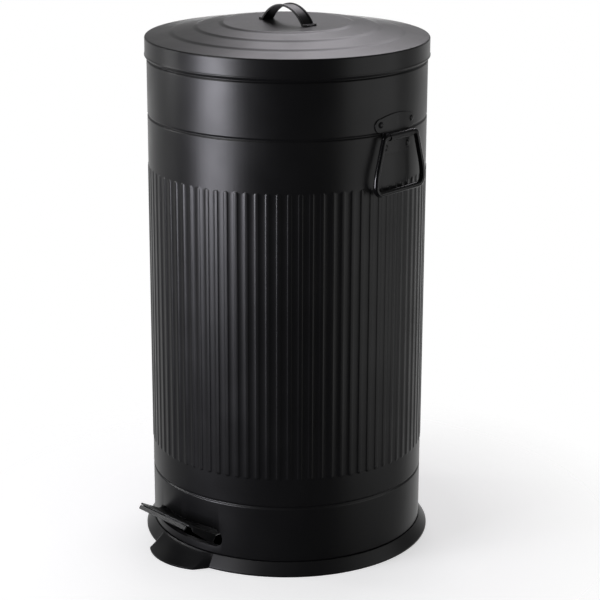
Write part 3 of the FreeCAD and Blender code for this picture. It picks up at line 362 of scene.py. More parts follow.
# %% Sizes of the body
body_radius = 150.0 * mm
sheet = 1.0 * mm
foot_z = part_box("body_shell")[0].z
top_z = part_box("body_shell")[1].z
groove_depth = 1.3 * mm
groove_reach = 2.1 * mm
lid_gap_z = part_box("lid_shell")[0].z - 2.0 * mm
ring_line_z = 13.2 * mm
low_groove_z = 76.0 * mm
high_groove_z = top_z - 75.0 * mm
groove_places = (ring_line_z, low_groove_z, high_groove_z, lid_gap_z)
rib_count = 84
rib_half_width = 2.75 * mm
rib_flank = 1.3 * mm
rib_rise = 0.5 * mm
rib_low_z = 107.0 * mm
rib_top_z = top_z - 129.0 * mm
rib_columns = (1.2 * mm, 1.7 * mm, 2.2 * mm, rib_half_width)
bead_radius = 2.0 * mm
bead_turn = math.radians(300.0)
print("body from", round(foot_z, 4), "to", round(top_z, 4), "with", rib_count, "ribs")


# %% Rows of the wall, from the foot up, over the rim and down inside
plain_rows = (40.0 * mm, 92.0 * mm, 440.0 * mm, 500.0 * mm)
rib_end_steps = (-0.1, 0.0, 0.2, 0.35, 0.5, 0.75, 1.0)
rib_shares = (0.25, 0.5, 0.75)
fine_steps = (-1.25, -1.0, -0.67, -0.33, 0.0, 0.33, 0.67, 1.0, 1.25)
coarse_steps = (-1.0, -0.5, 0.0, 0.5, 1.0)


def groove_at(z):
    """How far the grooves draw the wall in at a height."""
    depth = 0.0
    for middle in groove_places:
        share = min(1.0, abs(z - middle) / groove_reach)
        depth += groove_depth * (1 + math.cos(math.pi * share)) / 2
    return depth


def wall_heights(groove_steps):
    """Heights of the wall's rows: close together at grooves and rib ends, far apart elsewhere."""
    rows = [foot_z, *plain_rows]
    for middle in groove_places:
        rows += [middle + groove_reach * step for step in groove_steps]
    for step in rib_end_steps:
        rows += [rib_low_z + rib_half_width * step, rib_top_z - rib_half_width * step]
    return sorted(rows + [rib_low_z + (rib_top_z - rib_low_z) * share for share in rib_shares])


def rib_at(offset, z):
    """Height of a rib above the wall: flat on top, with rounded flanks and ends."""
    beyond = max(0.0, rib_low_z + rib_half_width - z, z - (rib_top_z - rib_half_width))
    from_edge = rib_half_width - math.hypot(offset, beyond)
    share = min(1.0, max(0.0, from_edge / rib_flank))
    return rib_rise * share * share * (3 - 2 * share)


def rim_curl(steps):
    """Points of the curled rim, from the outer wall over the top and back under to the inner wall."""
    centre = Vector((body_radius - bead_radius, top_z - bead_radius))
    turns = [bead_turn * step / steps for step in range(steps + 1)]
    return [centre + bead_radius * Vector((math.cos(turn), math.sin(turn))) for turn in turns]


outer_rows = [(body_radius - groove_at(z), z) for z in wall_heights(fine_steps)]
inner_rows = [(body_radius - groove_at(z) - sheet, z) for z in reversed(wall_heights(coarse_steps))]
wall_profile = outer_rows + [tuple(point) for point in rim_curl(steps=10)] + inner_rows
print("wall profile has", len(wall_profile), "points")


# %% Helpers for outlines
def outline(shape, places, closed=True):
    """Points and edges of an outline through places in space."""
    points = [shape.verts.new(place) for place in places]
    pairs = list(zip(points, points[1:]))
    if closed:
        pairs.append((points[-1], points[0]))
    return points + [shape.edges.new(pair) for pair in pairs]


def turned(shape, line, angle, steps, centre=(0, 0, 0), axis=(0, 0, 1), **more):
    """Turn an outline about an axis, and give the outline at the far end."""
    return bmesh.ops.spin(shape, geom=line, cent=centre, axis=axis, angle=angle, steps=steps,
                          **more)["geom_last"]


# %% One sector with its rib, then the whole wall
def body_wall():
    """Closed ribbed wall: a sector is spun column by column, raised at its rib and spun into copies."""
    shape = bmesh.new()
    pitch = math.tau / rib_count
    half = [offset / body_radius for offset in rib_columns]
    angles = [-pitch / 2] + [-angle for angle in reversed(half)] + half + [pitch / 2]
    last = outline(shape, [(0.0, -radius, z) for radius, z in wall_profile])
    for before, after in zip(angles, angles[1:]):
        last = turned(shape, last, after - before, steps=1)
    for vert in shape.verts:
        turn = math.atan2(vert.co.x, -vert.co.y) - pitch / 2
        rise = rib_at(turn * body_radius, vert.co.z)
        vert.co += rise * Vector((vert.co.x, vert.co.y, 0)).normalized()
    sector = shape.verts[:] + shape.edges[:] + shape.faces[:]
    turned(shape, sector, math.tau - pitch, rib_count - 1, use_duplicate=True)
    return close_up(shape)


wall = body_wall()
print("wall has", len(wall.verts), "points")

# %% [markdown]
# ## Cutting and joining
# Some pieces are cut or joined by a Boolean. As a live modifier it would be evaluated again for every
# view, so it runs once here, on two stand-ins, and the result is kept as a plain mesh.


# %% Helpers for Booleans
def discard(thing):
    """Remove a stand-in and its mesh."""
    mesh = thing.data
    bpy.data.objects.remove(thing)
    bpy.data.meshes.remove(mesh)


def combined(first, second, operation):
    """The bmesh that a Boolean of two closed bmeshes gives."""
    kept = shown_shape("stand_in", first)
    tool = shown_shape("stand_in", second)
    step = kept.modifiers.new("combine", "BOOLEAN")
    step.object = tool
    step.operation = operation
    step.solver = "EXACT"
    result = bmesh.new()
    result.from_object(kept, bpy.context.evaluated_depsgraph_get())
    discard(kept)
    discard(tool)
    return result


def beside(first, second):
    """One bmesh with the faces of two, which stay separate shells."""
    other = shown_shape("stand_in", second)
    first.from_mesh(other.data)
    discard(other)
    return first


# %% [markdown]
# ## The pedal's opening
# The sheet is punched where the pedal passes, a wide slot with round corners, and the edge of the slot
# is turned inwards so that it can't cut. A block of the slot's outline cuts the wall with a Boolean. A
# block that is one sheet larger, cut by the same outline and kept only just inside the wall, is the
# turned edge.

# %% Sizes of the opening
opening_half_width = 53.0 * mm
opening_low_z = 22.8 * mm
opening_high_z = 43.6 * mm
opening_low_corner = 9.0 * mm
opening_high_corner = 11.0 * mm
turned_edge = 5.0 * mm
turn_round = 0.8 * mm
cut_angle = math.radians(60.0)
hoop_margin = 3 * sheet
hoop_steps = 2 * rib_count
print("opening from", opening_low_z, "to", opening_high_z)


# %% Shapes that cut the opening and line it
def spun(profile, steps, closed):
    """Shape of revolution about the bin's axis, from points of radius and height."""
    shape = bmesh.new()
    line = outline(shape, [(radius, 0.0, z) for radius, z in profile], closed)
    turned(shape, line, math.tau, steps, use_merge=True)
    return close_up(shape)


def opening_block(larger):
    """Block with round corners that runs through the front wall, larger all round by a margin."""
    block = bmesh.new()
    bmesh.ops.create_cube(block, size=1.0)
    size = Vector((2 * (opening_half_width + larger), body_radius / 2,
                   opening_high_z - opening_low_z + 2 * larger))
    middle = Vector((0, -body_radius, (opening_low_z + opening_high_z) / 2))
    bmesh.ops.scale(block, vec=size, verts=block.verts)
    bmesh.ops.translate(block, vec=middle, verts=block.verts)
    along_y = [edge for edge in block.edges if abs(edge.verts[0].co.y - edge.verts[1].co.y) > size.y / 2]
    low = [edge for edge in along_y if edge.verts[0].co.z < middle.z]
    high = [edge for edge in along_y if edge.verts[0].co.z > middle.z]
    for edges, radius in ((low, opening_low_corner), (high, opening_high_corner)):
        rounded(block, edges, radius + larger, segments=8)
    return block


def turned_in_edge():
    """Sleeve of sheet round the opening, just inside the wall."""
    outer = body_radius - sheet / 2
    inner = outer - turned_edge
    low, high = opening_low_z - hoop_margin, opening_high_z + hoop_margin
    hoop = spun([(inner, low), (outer, low), (outer, high), (inner, high)], hoop_steps, closed=True)
    sleeve = combined(opening_block(sheet), opening_block(0.0), "DIFFERENCE")
    return combined(hoop, sleeve, "INTERSECT")


# %% Punch the opening and turn its edge in
def on_cut(vert):
    """Whether a point lies on the opening's outer edge."""
    across = abs(vert.co.x) < opening_half_width + mm
    outside = vert.co.y < -body_radius / 2 and vert.co.xy.length > body_radius - sheet / 2
    return across and outside and opening_low_z - mm < vert.co.z < opening_high_z + mm


wall = combined(wall, opening_block(0.0), "DIFFERENCE")
cut_edges = [edge for edge in wall.edges if edge.is_manifold and edge.calc_face_angle() > cut_angle
             and all(on_cut(vert) for vert in edge.verts)]
print("opening has", len(cut_edges), "cut edges")
rounded(wall, cut_edges, turn_round, segments=3, clamp=True)
punched = beside(wall, turned_in_edge())
finish_piece("body_shell_skin", punched, "body", ["body_shell"], "body_paint", sharp_above=55.0, even=False)

# %% [markdown]
# ## Lid
# The lid is a shallow pressing: a hemmed skirt hangs over the body's rim, the top climbs in three low
# steps and the centre is flat for the handle. One line from the centre, over the top, down the skirt
# and back underneath is spun once round, and the bevel then softens each pressed step.

# %% Sizes and profile of the lid
lid_radius = 152.0 * mm
lid_sheet = 1.0 * mm
skirt_low_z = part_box("lid_shell")[0].z
crease_z = top_z + 8.0 * mm
lid_ring_radii = (124.0 * mm, 98.0 * mm, 70.5 * mm)
lid_slope_rises = (3.5 * mm, 3.5 * mm, 2.5 * mm)
lid_step_rise = 1.5 * mm
lid_step_run = 4.4 * mm
lid_flat_radius = 45.0 * mm
lid_flat_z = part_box("lid_shell")[1].z - 1.0 * mm
hem_rise = 0.5 * mm
hem_height = 3.4 * mm
hem_shoulder = 0.7 * hem_height
hem_fold = 0.55 * hem_height
hem_steps = 6


def lid_top(drop):
    """Points of the stepped top from the crease to the centre, lowered by a sheet thickness."""
    z = crease_z - drop
    points = [(lid_radius - drop, z)]
    for radius, rise in zip(lid_ring_radii, lid_slope_rises):
        points.append((radius + lid_step_run / 2, z + rise))
        points.append((radius - lid_step_run / 2, z + rise + lid_step_rise))
        z = z + rise + lid_step_rise
    return points + [(lid_flat_radius, lid_flat_z - drop), (0.0, lid_flat_z - drop)]


hem = [(lid_radius, skirt_low_z + hem_height), (lid_radius + hem_rise, skirt_low_z + hem_shoulder)]
for step in range(hem_steps + 1):
    bend = math.radians(90.0 * step / hem_steps)
    hem.append((lid_radius - lid_sheet + (lid_sheet + hem_rise) * math.cos(bend),
                skirt_low_z + hem_fold * (1 - math.sin(bend))))
lid_profile = list(reversed(lid_top(0.0))) + hem + lid_top(lid_sheet)
print("lid profile has", len(lid_profile), "points")

# %% Spin the lid and round its crease and steps
round_steps = 256
crease_reach = 0.1 * mm
crease_round = 1.6 * mm
step_angle = math.radians(8.0)
step_edge_length = 8.0 * mm
step_round = 1.2 * mm

lid_shape = spun(lid_profile, round_steps, closed=False)
crease = [edge for edge in lid_shape.edges
          if all(abs(vert.co.z - crease_z) < crease_reach for vert in edge.verts)]
rounded(lid_shape, crease, crease_round, segments=4)
step_edges = [edge for edge in lid_shape.edges if edge.calc_face_angle() > step_angle
              and edge.verts[0].co.z > crease_z + mm and edge.calc_length() < step_edge_length]
rounded(lid_shape, step_edges, step_round, segments=3)
finish_piece("lid_shell_skin", lid_shape, "lid", ["lid_shell"], "body_paint", sharp_above=60.0)

# %% [markdown]
# ## Strap handle
# The handle is a steel strip with rolled borders, bent to an arch and turned out at its feet, where it
# is welded to the lid. The strip's section is drawn once at one foot and carried along: straight for
# the tab, back round the small bend, over the arch and the same again on the far side.

# %% Bend the strap
strap_top_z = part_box("lid_handle")[1].z
strap_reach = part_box("lid_handle")[1].x
strap_radius = 38.0 * mm
strap_half_width = 8.0 * mm
strap_sheet = 1.5 * mm
strap_border = 1.9 * mm
strap_border_rise = 0.8 * mm
strap_foot_bend = 1.0 * mm
strap_round = 0.3 * mm
foot_steps = 5
arch_steps = 48


def carried(shape, line, move, steps=1):
    """Carry an outline straight on in equal steps, and give the outline at the far end."""
    return turned(shape, line, 0.0, steps, dvec=move)


def strap_section():
    """Section across the strap, from its underside: a flat strip with a raised border on each side."""
    inner = strap_half_width - strap_border
    high = strap_sheet + strap_border_rise
    right = [(strap_half_width, 0.0), (strap_half_width, high), (inner, high),
             (inner - strap_border_rise, strap_sheet)]
    return right + [(-across, lift) for across, lift in reversed(right)]


def strap_shape():
    """Strap carried along its tabs, foot bends and arch."""
    shape = bmesh.new()
    inside = strap_radius - strap_border_rise - strap_sheet
    centre_z = strap_top_z - strap_radius
    bend_z = lid_flat_z + strap_sheet + strap_foot_bend
    apart = inside + strap_sheet + strap_foot_bend
    foot_turn = math.acos((bend_z - centre_z) / apart)
    foot_x = apart * math.sin(foot_turn)
    tab = (strap_reach - foot_x, 0, 0)
    last = outline(shape, [(-strap_reach, across, lid_flat_z + lift) for across, lift in strap_section()])
    last = carried(shape, last, tab)
    for x, z, angle, steps in ((-foot_x, bend_z, -foot_turn, foot_steps),
                               (0.0, centre_z, 2 * foot_turn, arch_steps),
                               (foot_x, bend_z, -foot_turn, foot_steps)):
        last = turned(shape, last, angle, steps, centre=(x, 0, z), axis=(0, 1, 0))
    carried(shape, last, tab)
    print("strap feet at", round(foot_x / mm, 1), "turned by", round(math.degrees(foot_turn), 1))
    return close_up(shape)


strap = strap_shape()
soften(strap, strap_round, sharper_than=30.0)
finish_piece("lid_strap", strap, "lid", ["lid_handle"], "trim_paint")

# %% [markdown]
# ## Base ring
# A moulded ring keeps the sheet's cut edge off the floor: a narrow channel takes the body and a flange
# slopes down to the floor. It is spun once round and bevelled, and a wedge then takes the flange away
# where the toe sits.

# %% Spin the ring and cut it for the toe
ring_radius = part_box("base_ring")[1].x - 1.0 * mm
ring_height = 14.0 * mm
ring_edge = 2.0 * mm
seat_inside = 147.5 * mm
seat_outside = 150.3 * mm
ring_top_radius = 151.0 * mm
ring_inside = 146.0 * mm
ring_upstand_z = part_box("base_ring")[1].z
ring_round = 0.3 * mm
toe_half_angle = math.radians(16.6)
gap_reach = 20.0 * mm
gap_steps = 24


def front_sector(section, half_angle, steps):
    """Section of radius and height, turned about the bin's axis over an angle at the front."""
    shape = bmesh.new()
    start = -math.pi / 2 - half_angle
    line = outline(shape, [(r * math.cos(start), r * math.sin(start), z) for r, z in section])
    turned(shape, line, 2 * half_angle, steps)
    return shape


def ring_gap():
    """Wedge over the toe's sector, outside the body."""
    far = ring_radius + gap_reach
    corners = [(seat_outside, -ring_edge), (far, -ring_edge), (far, ring_height + ring_edge),
               (seat_outside, ring_height + ring_edge)]
    return close_up(front_sector(corners, toe_half_angle, gap_steps))


ring_profile = [(ring_inside, 0.0), (ring_radius, 0.0), (ring_radius, ring_edge),
                (ring_top_radius, ring_height), (seat_outside, ring_height), (seat_outside, foot_z),
                (seat_inside, foot_z), (seat_inside, ring_upstand_z), (ring_inside, ring_upstand_z)]
ring_shape = spun(ring_profile, round_steps, closed=True)
soften(ring_shape, ring_round)
ring_shape = combined(ring_shape, ring_gap(), "DIFFERENCE")
finish_piece("base_ring_moulding", ring_shape, "body", ["base_ring"], "base_plastic")

# %% [markdown]
# ## Toe
# The toe continues the ring forwards under the pedal. Its top is a hollow scoop that runs out into a
# thin rim at the floor. A section of the ring is spun over the toe's angle, with many rows up the
# scoop, and each row is then pulled forwards: far at the floor, not at all at the top.

# %% Pull the toe forwards
toe_front_reach = 29.0 * mm
toe_corner_reach = 22.0 * mm
toe_corner_angle = math.radians(12.4)
toe_corner_swing = math.radians(2.6)
toe_seam = 0.3 * mm
toe_end_angle = toe_half_angle - toe_seam / body_radius
toe_rows = 16
toe_columns = 96
toe_round = 0.15 * mm
scoop_middle = 1.6
scoop_corner = 1.15


def toe_reach(angle, share):
    """How far the toe stands out at an angle from the front, by the share of the way down.

    In the middle the reach grows late, which hollows the scoop. At the corners it grows almost evenly.
    """
    corner = toe_corner_angle + toe_corner_swing * (1 - share)
    turn = abs(angle)
    inward = min(1.0, turn / corner)
    power = scoop_middle + (scoop_corner - scoop_middle) * inward ** 3
    crown = toe_front_reach + (toe_corner_reach - toe_front_reach) * inward ** 2
    reach = crown * share ** power
    if turn > corner:
        along = (turn - corner) / (toe_end_angle - corner)
        cone = (ring_radius - ring_top_radius) * share
        reach += (cone - reach) * along
    return reach


def toe_shape():
    """Toe moulding, spun from one section and then pulled forwards row by row."""
    back = seat_outside + toe_seam
    shares = [row / toe_rows for row in range(toe_rows + 1)]
    section = [(back, 0.0), (back, ring_height)]
    section += [(ring_top_radius, ring_height - (ring_height - ring_edge) * share) for share in shares]
    section += [(ring_top_radius, 0.0)]
    shape = front_sector(section, toe_end_angle, toe_columns)
    for vert in shape.verts:
        flat = Vector((vert.co.x, vert.co.y, 0))
        if flat.length > (back + ring_top_radius) / 2:
            share = min(1.0, max(0.0, (ring_height - vert.co.z) / (ring_height - ring_edge)))
            vert.co += toe_reach(math.atan2(vert.co.x, -vert.co.y), share) * flat.normalized()
    return close_up(shape)


toe_moulding = toe_shape()
soften(toe_moulding, toe_round, sharper_than=45.0)
finish_piece("toe_moulding", toe_moulding, "body", ["toe"], "base_plastic", sharp_above=35.0)

# %% [markdown]
# ## Pedal tread
# The tread is one folded plate: a deck that climbs to the front edge, a skirt folded down along each
# side and, inside the bin, a cheek on each side for the pivot. The flat deck is drawn first, its edges
# are extruded downwards as the folds, and the sheet gets its thickness last, so that every fold has the
# same wall. The lip is a strip of its own below the front edge, with a narrow gap above it.

# %% Sizes of the tread
tread_low, tread_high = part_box("pedal_tread")
tread_tail_y = tread_high.y
tread_front_y = tread_low.y + 3.4 * mm
tread_front_z = tread_high.z + 2.2 * mm
deck_z = 38.8 * mm
tread_sheet = 2.0 * mm
front_half_width = 42.5 * mm
neck_half_width = 50.0 * mm
front_corner = 3.4 * mm
fold_round = 0.6 * mm
notch = 4.0 * mm
neck_y = -145.8 * mm
inner_y = -137.4 * mm
cheek_y = -104.0 * mm
cheek_low_z = tread_low.z
skirt_front_depth = 7.0 * mm
skirt_neck_low_z = 25.5 * mm
skirt_lean = 6.5 * mm
lip_depth = 7.0 * mm
lip_gap = 2.4 * mm
lip_half_width = 39.6 * mm
lip_stands_out = 0.8 * mm
lip_lean = math.radians(8.0)
lip_corner = 1.3 * mm
lip_round = 0.35 * mm
print("tread from", round(tread_front_y, 4), "to", round(tread_tail_y, 4))


# %% Lines of the deck, the skirts and the cheeks
def deck_line(y):
    """Half width and height of the deck at a place from front to tail."""
    if y > neck_y:
        return neck_half_width, deck_z
    share = (neck_y - y) / (neck_y - tread_front_y)
    width = neck_half_width + (front_half_width - neck_half_width) * share
    return width, deck_z + (tread_front_z - deck_z) * share


def fold(shape, edges, move):
    """Extrude edges and move each new point by what its place asks for."""
    new = bmesh.ops.extrude_edge_only(shape, edges=edges)["geom"]
    for vert in [item for item in new if isinstance(item, bmesh.types.BMVert)]:
        vert.co += move(vert.co)


def skirt_move(place):
    """From the deck's edge to the skirt's lower edge, which drops and leans in towards the neck."""
    share = (place.y - tread_front_y - notch) / (neck_y - tread_front_y - notch)
    drop = skirt_front_depth + (deck_z - skirt_neck_low_z - skirt_front_depth) * share
    return Vector((-math.copysign(skirt_lean * share, place.x), 0, -drop))


def cheek_move(place):
    """From the deck's edge to the lower edge of the cheek inside the bin."""
    share = min(1.0, (place.y - inner_y) / (cheek_y - inner_y))
    start = 2 * tread_sheet
    return Vector((0, 0, -start - (deck_z - cheek_low_z - start) * share))


# %% Fold the sheet and set the lip below it
def folded_sheet():
    """Deck with its skirts and cheeks folded down, with the sheet's thickness inside."""
    shape = bmesh.new()
    stations = [tread_front_y, tread_front_y + notch, neck_y, inner_y, cheek_y, tread_tail_y]
    rows = []
    for y in stations:
        half, z = deck_line(y)
        rows.append([shape.verts.new((x, y, z)) for x in (-half, half)])
    for near, far in zip(rows, rows[1:]):
        shape.faces.new((near[0], near[1], far[1], far[0]))
    edge_of = {frozenset(edge.verts): edge for edge in shape.edges}

    def side_edges(first, last, side):
        """Edges of the deck along one side, from one station to another."""
        return [edge_of[frozenset((rows[i][side], rows[i + 1][side]))] for i in range(first, last)]

    for side in (0, 1):
        fold(shape, side_edges(1, 2, side), skirt_move)
        fold(shape, side_edges(3, 5, side), cheek_move)
    rounded(shape, rows[0], front_corner, segments=6, affect="VERTICES")
    bmesh.ops.recalc_face_normals(shape, faces=shape.faces)
    deck = max(shape.faces, key=lambda face: face.calc_center_median().z)
    if deck.normal.z < 0:
        bmesh.ops.reverse_faces(shape, faces=shape.faces)
    bmesh.ops.solidify(shape, geom=shape.faces, thickness=tread_sheet)
    return close_up(shape)


def lip_strip():
    """Flat strip below the deck's front edge, turned up a little from square to the deck."""
    slope = math.atan2(tread_front_z - deck_z, neck_y - tread_front_y) + lip_lean
    forward = Vector((0, -math.cos(slope), math.sin(slope)))
    down = Vector((0, -math.sin(slope), -math.cos(slope)))
    corner = Vector((0, tread_front_y, tread_front_z))
    middle = corner + forward * (lip_stands_out - tread_sheet / 2) + down * (lip_gap + lip_depth) / 2
    turn = Matrix((Vector((1, 0, 0)), forward, down)).transposed().to_4x4()
    size = Matrix.Diagonal((2 * lip_half_width, tread_sheet, lip_depth - lip_gap, 1))
    shape = bmesh.new()
    bmesh.ops.create_cube(shape, size=1.0, matrix=Matrix.Translation(middle) @ turn @ size)
    ends = [edge for edge in shape.edges if abs(edge.verts[0].co.x - edge.verts[1].co.x) < mm
            and abs((edge.verts[0].co - edge.verts[1].co).dot(forward)) > tread_sheet / 2]
    rounded(shape, ends, lip_corner, segments=4)
    return close_up(shape)


tread = folded_sheet()
soften(tread, fold_round, segments=3, sharper_than=20.0)
lip = lip_strip()
soften(lip, lip_round, sharper_than=50.0)
finish_piece("pedal_tread_plate", beside(tread, lip), "pedal", ["pedal_tread"], "tread_paint")

# %% [markdown]
# ## Drop handles
# Each handle is a wire bail that hangs in a plate riveted to the wall. The plate is a flat blank with
# round corners, bent round the body, with its middle rolled into a ridge that holds the wire. The
# blank's corners are vertex bevels, and planes cut it into strips so that it can bend.

# %% Sizes of the handles
hands = ((1, "right"), (-1, "left"))
handle_angle = math.radians(97.0)
handle_z = top_z - 78.0 * mm
handle_depth = 154.8 * mm
plate_inside = 150.1 * mm
plate_sheet = 1.2 * mm
band_half_width = 32.5 * mm
band_radius = 7.3 * mm
band_z = handle_z + 11.6 * mm
band_crown = 3.8 * mm
tab_half_width = 22.0 * mm
tab_low_z = handle_z - 19.0 * mm
tab_corner = 5.0 * mm
ridge_radius = 4.0 * mm
ridge_half_length = 18.6 * mm
ridge_bore = 3.06 * mm
bail_radius = 3.0 * mm
bail_stations = ((26.0 * mm, 0.0), (38.2 * mm, -41.0 * mm), (38.2 * mm, -58.0 * mm))
bail_bends = (4.0 * mm, 55.0 * mm, 7.5 * mm)
bail_stub = 8.0 * mm
print("handles at", round(handle_z, 4), "on both sides")


def handle_place(side):
    """Matrix from a handle's own axes (along the wall, outwards, up) to the bin's."""
    turn = side * handle_angle
    outwards = Vector((math.sin(turn), -math.cos(turn), 0))
    along = Vector((-outwards.y, outwards.x, 0))
    return Matrix((along, outwards, (0, 0, 1))).transposed().to_4x4()


# %% Cut and bend a plate
band_end_round = 0.98 * band_radius
plate_round = 0.35 * mm
plate_strips = 26
cut_distance = 1e-7


def plate_blank():
    """Flat blank of the plate, cut into strips for bending, with its upper edge crowned."""
    shape = bmesh.new()
    low = band_z - band_radius
    high = band_z + band_radius
    corners = [(-band_half_width, high), (-band_half_width, low), (-tab_half_width, low),
               (-tab_half_width, tab_low_z), (tab_half_width, tab_low_z), (tab_half_width, low),
               (band_half_width, low), (band_half_width, high)]
    points = [shape.verts.new((x, 0.0, z)) for x, z in corners]
    shape.faces.new(points)
    ends = [point for point in points if abs(point.co.x) > tab_half_width + mm]
    feet = [point for point in points if point.co.z < low - mm]
    rounded(shape, ends, band_end_round, segments=8, affect="VERTICES")
    rounded(shape, feet, tab_corner, segments=5, affect="VERTICES")
    for strip in range(1, plate_strips):
        x = band_half_width * (2 * strip / plate_strips - 1)
        bmesh.ops.bisect_plane(shape, geom=shape.verts[:] + shape.edges[:] + shape.faces[:],
                               dist=cut_distance, plane_co=(x, 0, 0), plane_no=(1, 0, 0))
    straight = band_half_width - band_radius
    for vert in shape.verts:
        if vert.co.z > band_z:
            share = min(1.0, abs(vert.co.x) / straight)
            vert.co.z += band_crown * (1 - share ** 2)
    return shape


def plate_shape():
    """Bent plate: the blank gets its thickness and follows the wall's curve."""
    shape = plate_blank()
    bmesh.ops.recalc_face_normals(shape, faces=shape.faces)
    bmesh.ops.solidify(shape, geom=shape.faces, thickness=plate_sheet)
    back = min(vert.co.y for vert in shape.verts)
    for vert in shape.verts:
        radius = plate_inside + (vert.co.y - back)
        vert.co.y = math.sqrt(radius ** 2 - vert.co.x ** 2)
    shape = close_up(shape)
    soften(shape, plate_round, sharper_than=40.0)
    return shape


# %% Roll the ridge that holds the wire
ridge_flare = 1.6 * mm
ridge_round = 0.25 * mm
ridge_arc_steps = 12
ridge_steps = 12
bore_length = 2.2 * ridge_half_length


def ridge_shape():
    """Rolled ridge: a tube for the wire on a foot that flares into the plate."""
    shape = bmesh.new()
    foot = plate_inside + plate_sheet / 3
    root = foot + (handle_depth - foot) / 4
    section = [(foot, ridge_radius + ridge_flare), (root, ridge_radius)]
    for step in range(ridge_arc_steps + 1):
        turn = math.pi * step / ridge_arc_steps
        section.append((handle_depth + ridge_radius * math.sin(turn), ridge_radius * math.cos(turn)))
    section += [(root, -ridge_radius), (foot, -ridge_radius - ridge_flare)]
    line = outline(shape, [(-ridge_half_length, depth, handle_z + lift) for depth, lift in section])
    carried(shape, line, (2 * ridge_half_length / ridge_steps, 0, 0), ridge_steps)
    for vert in shape.verts:
        if vert.co.y < handle_depth - mm:
            vert.co.y -= plate_inside - math.sqrt(plate_inside ** 2 - vert.co.x ** 2)
    return close_up(shape)


def bore_shape():
    """Round cutter for the wire's bore."""
    shape = bmesh.new()
    place = Matrix.Translation((0, handle_depth, handle_z)) @ Matrix.Rotation(math.pi / 2, 4, "Y")
    bmesh.ops.create_cone(shape, cap_ends=True, segments=32, radius1=ridge_bore, radius2=ridge_bore,
                          depth=bore_length, matrix=place)
    return shape


# %% Join ridge and plate on both sides
for side, hand in hands:
    ridge = combined(ridge_shape(), bore_shape(), "DIFFERENCE")
    soften(ridge, ridge_round, sharper_than=50.0)
    plate = combined(plate_shape(), ridge, "UNION")
    bmesh.ops.transform(plate, matrix=handle_place(side), verts=plate.verts)
    finish_piece(f"handle_plate_{hand}_skin", plate, "body", [f"handle_plate_{hand}"], "trim_paint")

# %% [markdown]
# ## Bails
# A bail is one length of round wire in six bends. A circle is carried along each straight run and spun
# round each bend, about the bend's own centre, so that the wire keeps its thickness through the corner.

# %% Helper that bends a wire
wire_sides = 28
wire_bend_steps = 10


def bent_wire(points, bends, radius):
    """Round wire along straight runs, with one bend for each inner point."""
    shape = bmesh.new()
    first = (points[1] - points[0]).normalized()
    start = Matrix.Translation(points[0]) @ first.to_track_quat("Z", "Y").to_matrix().to_4x4()
    made = bmesh.ops.create_circle(shape, cap_ends=False, segments=wire_sides, radius=radius, matrix=start)
    last = made["verts"] + shape.edges[:]
    here = points[0]
    for before, corner, after, bend in zip(points, points[1:], points[2:], bends):
        into = (corner - before).normalized()
        away = (after - corner).normalized()
        angle = into.angle(away)
        setback = bend * math.tan(angle / 2)
        axis = into.cross(away).normalized()
        bend_start = corner - into * setback
        centre = bend_start + axis.cross(into) * bend
        last = carried(shape, last, bend_start - here)
        last = turned(shape, last, angle, wire_bend_steps, centre, axis)
        here = corner + away * setback
    carried(shape, last, points[-1] - here)
    return close_up(shape)


# %% Bend a bail for each side
bail_half = [(bail_stub, 0.0), *bail_stations]
bail_line = [(-spread, drop) for spread, drop in bail_half] + list(reversed(bail_half))
bail_route = [Vector((spread, handle_depth, handle_z + drop)) for spread, drop in bail_line]
for side, hand in hands:
    wire = bent_wire(bail_route, bail_bends + tuple(reversed(bail_bends)), bail_radius)
    bmesh.ops.transform(wire, matrix=handle_place(side), verts=wire.verts)
    finish_piece(f"bail_{hand}_wire", wire, f"handle_{hand}", [f"bail_{hand}"], "wire_paint", even=False)

# %% [markdown]
# ## Floor and surroundings
# The bin stands on a white studio floor. A small round floor is enough: it fades out before its edge
# into a world that is white wherever the camera looks. Glossy rays see a dark studio in front of the
# bin and a light one behind it, lightest towards the floor, so that black paint keeps its depth.

# %% Floor
azimuth = math.radians(48.3)
floor_reach = 1.0
floor_fade = (0.20, 0.44)
# Radius under the bin inside which the floor is painted black, with no glow: a painted shade.
painted_shade_radius = 0.155
floor_white = 0.8
floor_glow = 0.43
white = (1.0, 1.0, 1.0, 1.0)


def fade_floor():
    """White floor that keeps the bin's shadow, is painted black under the bin as painted shade, and fades
    out with distance.

    Glossy rays pass through it to the world, so that the lower wall doesn't mirror a white floor.
    """
    material = bpy.data.materials.new("studio_floor")
    material.use_nodes = True
    tree = material.node_tree
    tree.nodes.remove(tree.nodes["Principled BSDF"])
    place = tree.nodes.new("ShaderNodeTexCoord").outputs["Object"]
    away = fed(tree, "ShaderNodeVectorMath", place, operation="LENGTH").outputs["Value"]
    light = tree.nodes.new("ShaderNodeLightPath").outputs
    seen = math_of(tree, "MAXIMUM", light["Is Camera Ray"], light["Is Transmission Ray"])
    # Inside that radius the floor gets no colour and no glow: painted shade under the bin.
    outside = math_of(tree, "GREATER_THAN", away, painted_shade_radius)
    level = math_of(tree, "MULTIPLY", outside, floor_white)
    grey = fed(tree, "ShaderNodeCombineColor", level, level, level).outputs["Color"]
    matt = fed(tree, "ShaderNodeBsdfDiffuse", grey).outputs[0]
    lift = math_of(tree, "MULTIPLY", math_of(tree, "MULTIPLY", seen, outside), floor_glow)
    glow = fed(tree, "ShaderNodeEmission", white, lift).outputs[0]
    lit = fed(tree, "ShaderNodeAddShader", matt, glow).outputs[0]
    clear = tree.nodes.new("ShaderNodeBsdfTransparent").outputs[0]
    fade = math_of(tree, "MAXIMUM", ranged(tree, away, floor_fade), light["Is Glossy Ray"])
    faded = fed(tree, "ShaderNodeMixShader", fade, lit, clear).outputs[0]
    tree.links.new(faded, tree.nodes["Material Output"].inputs["Surface"])
    return material


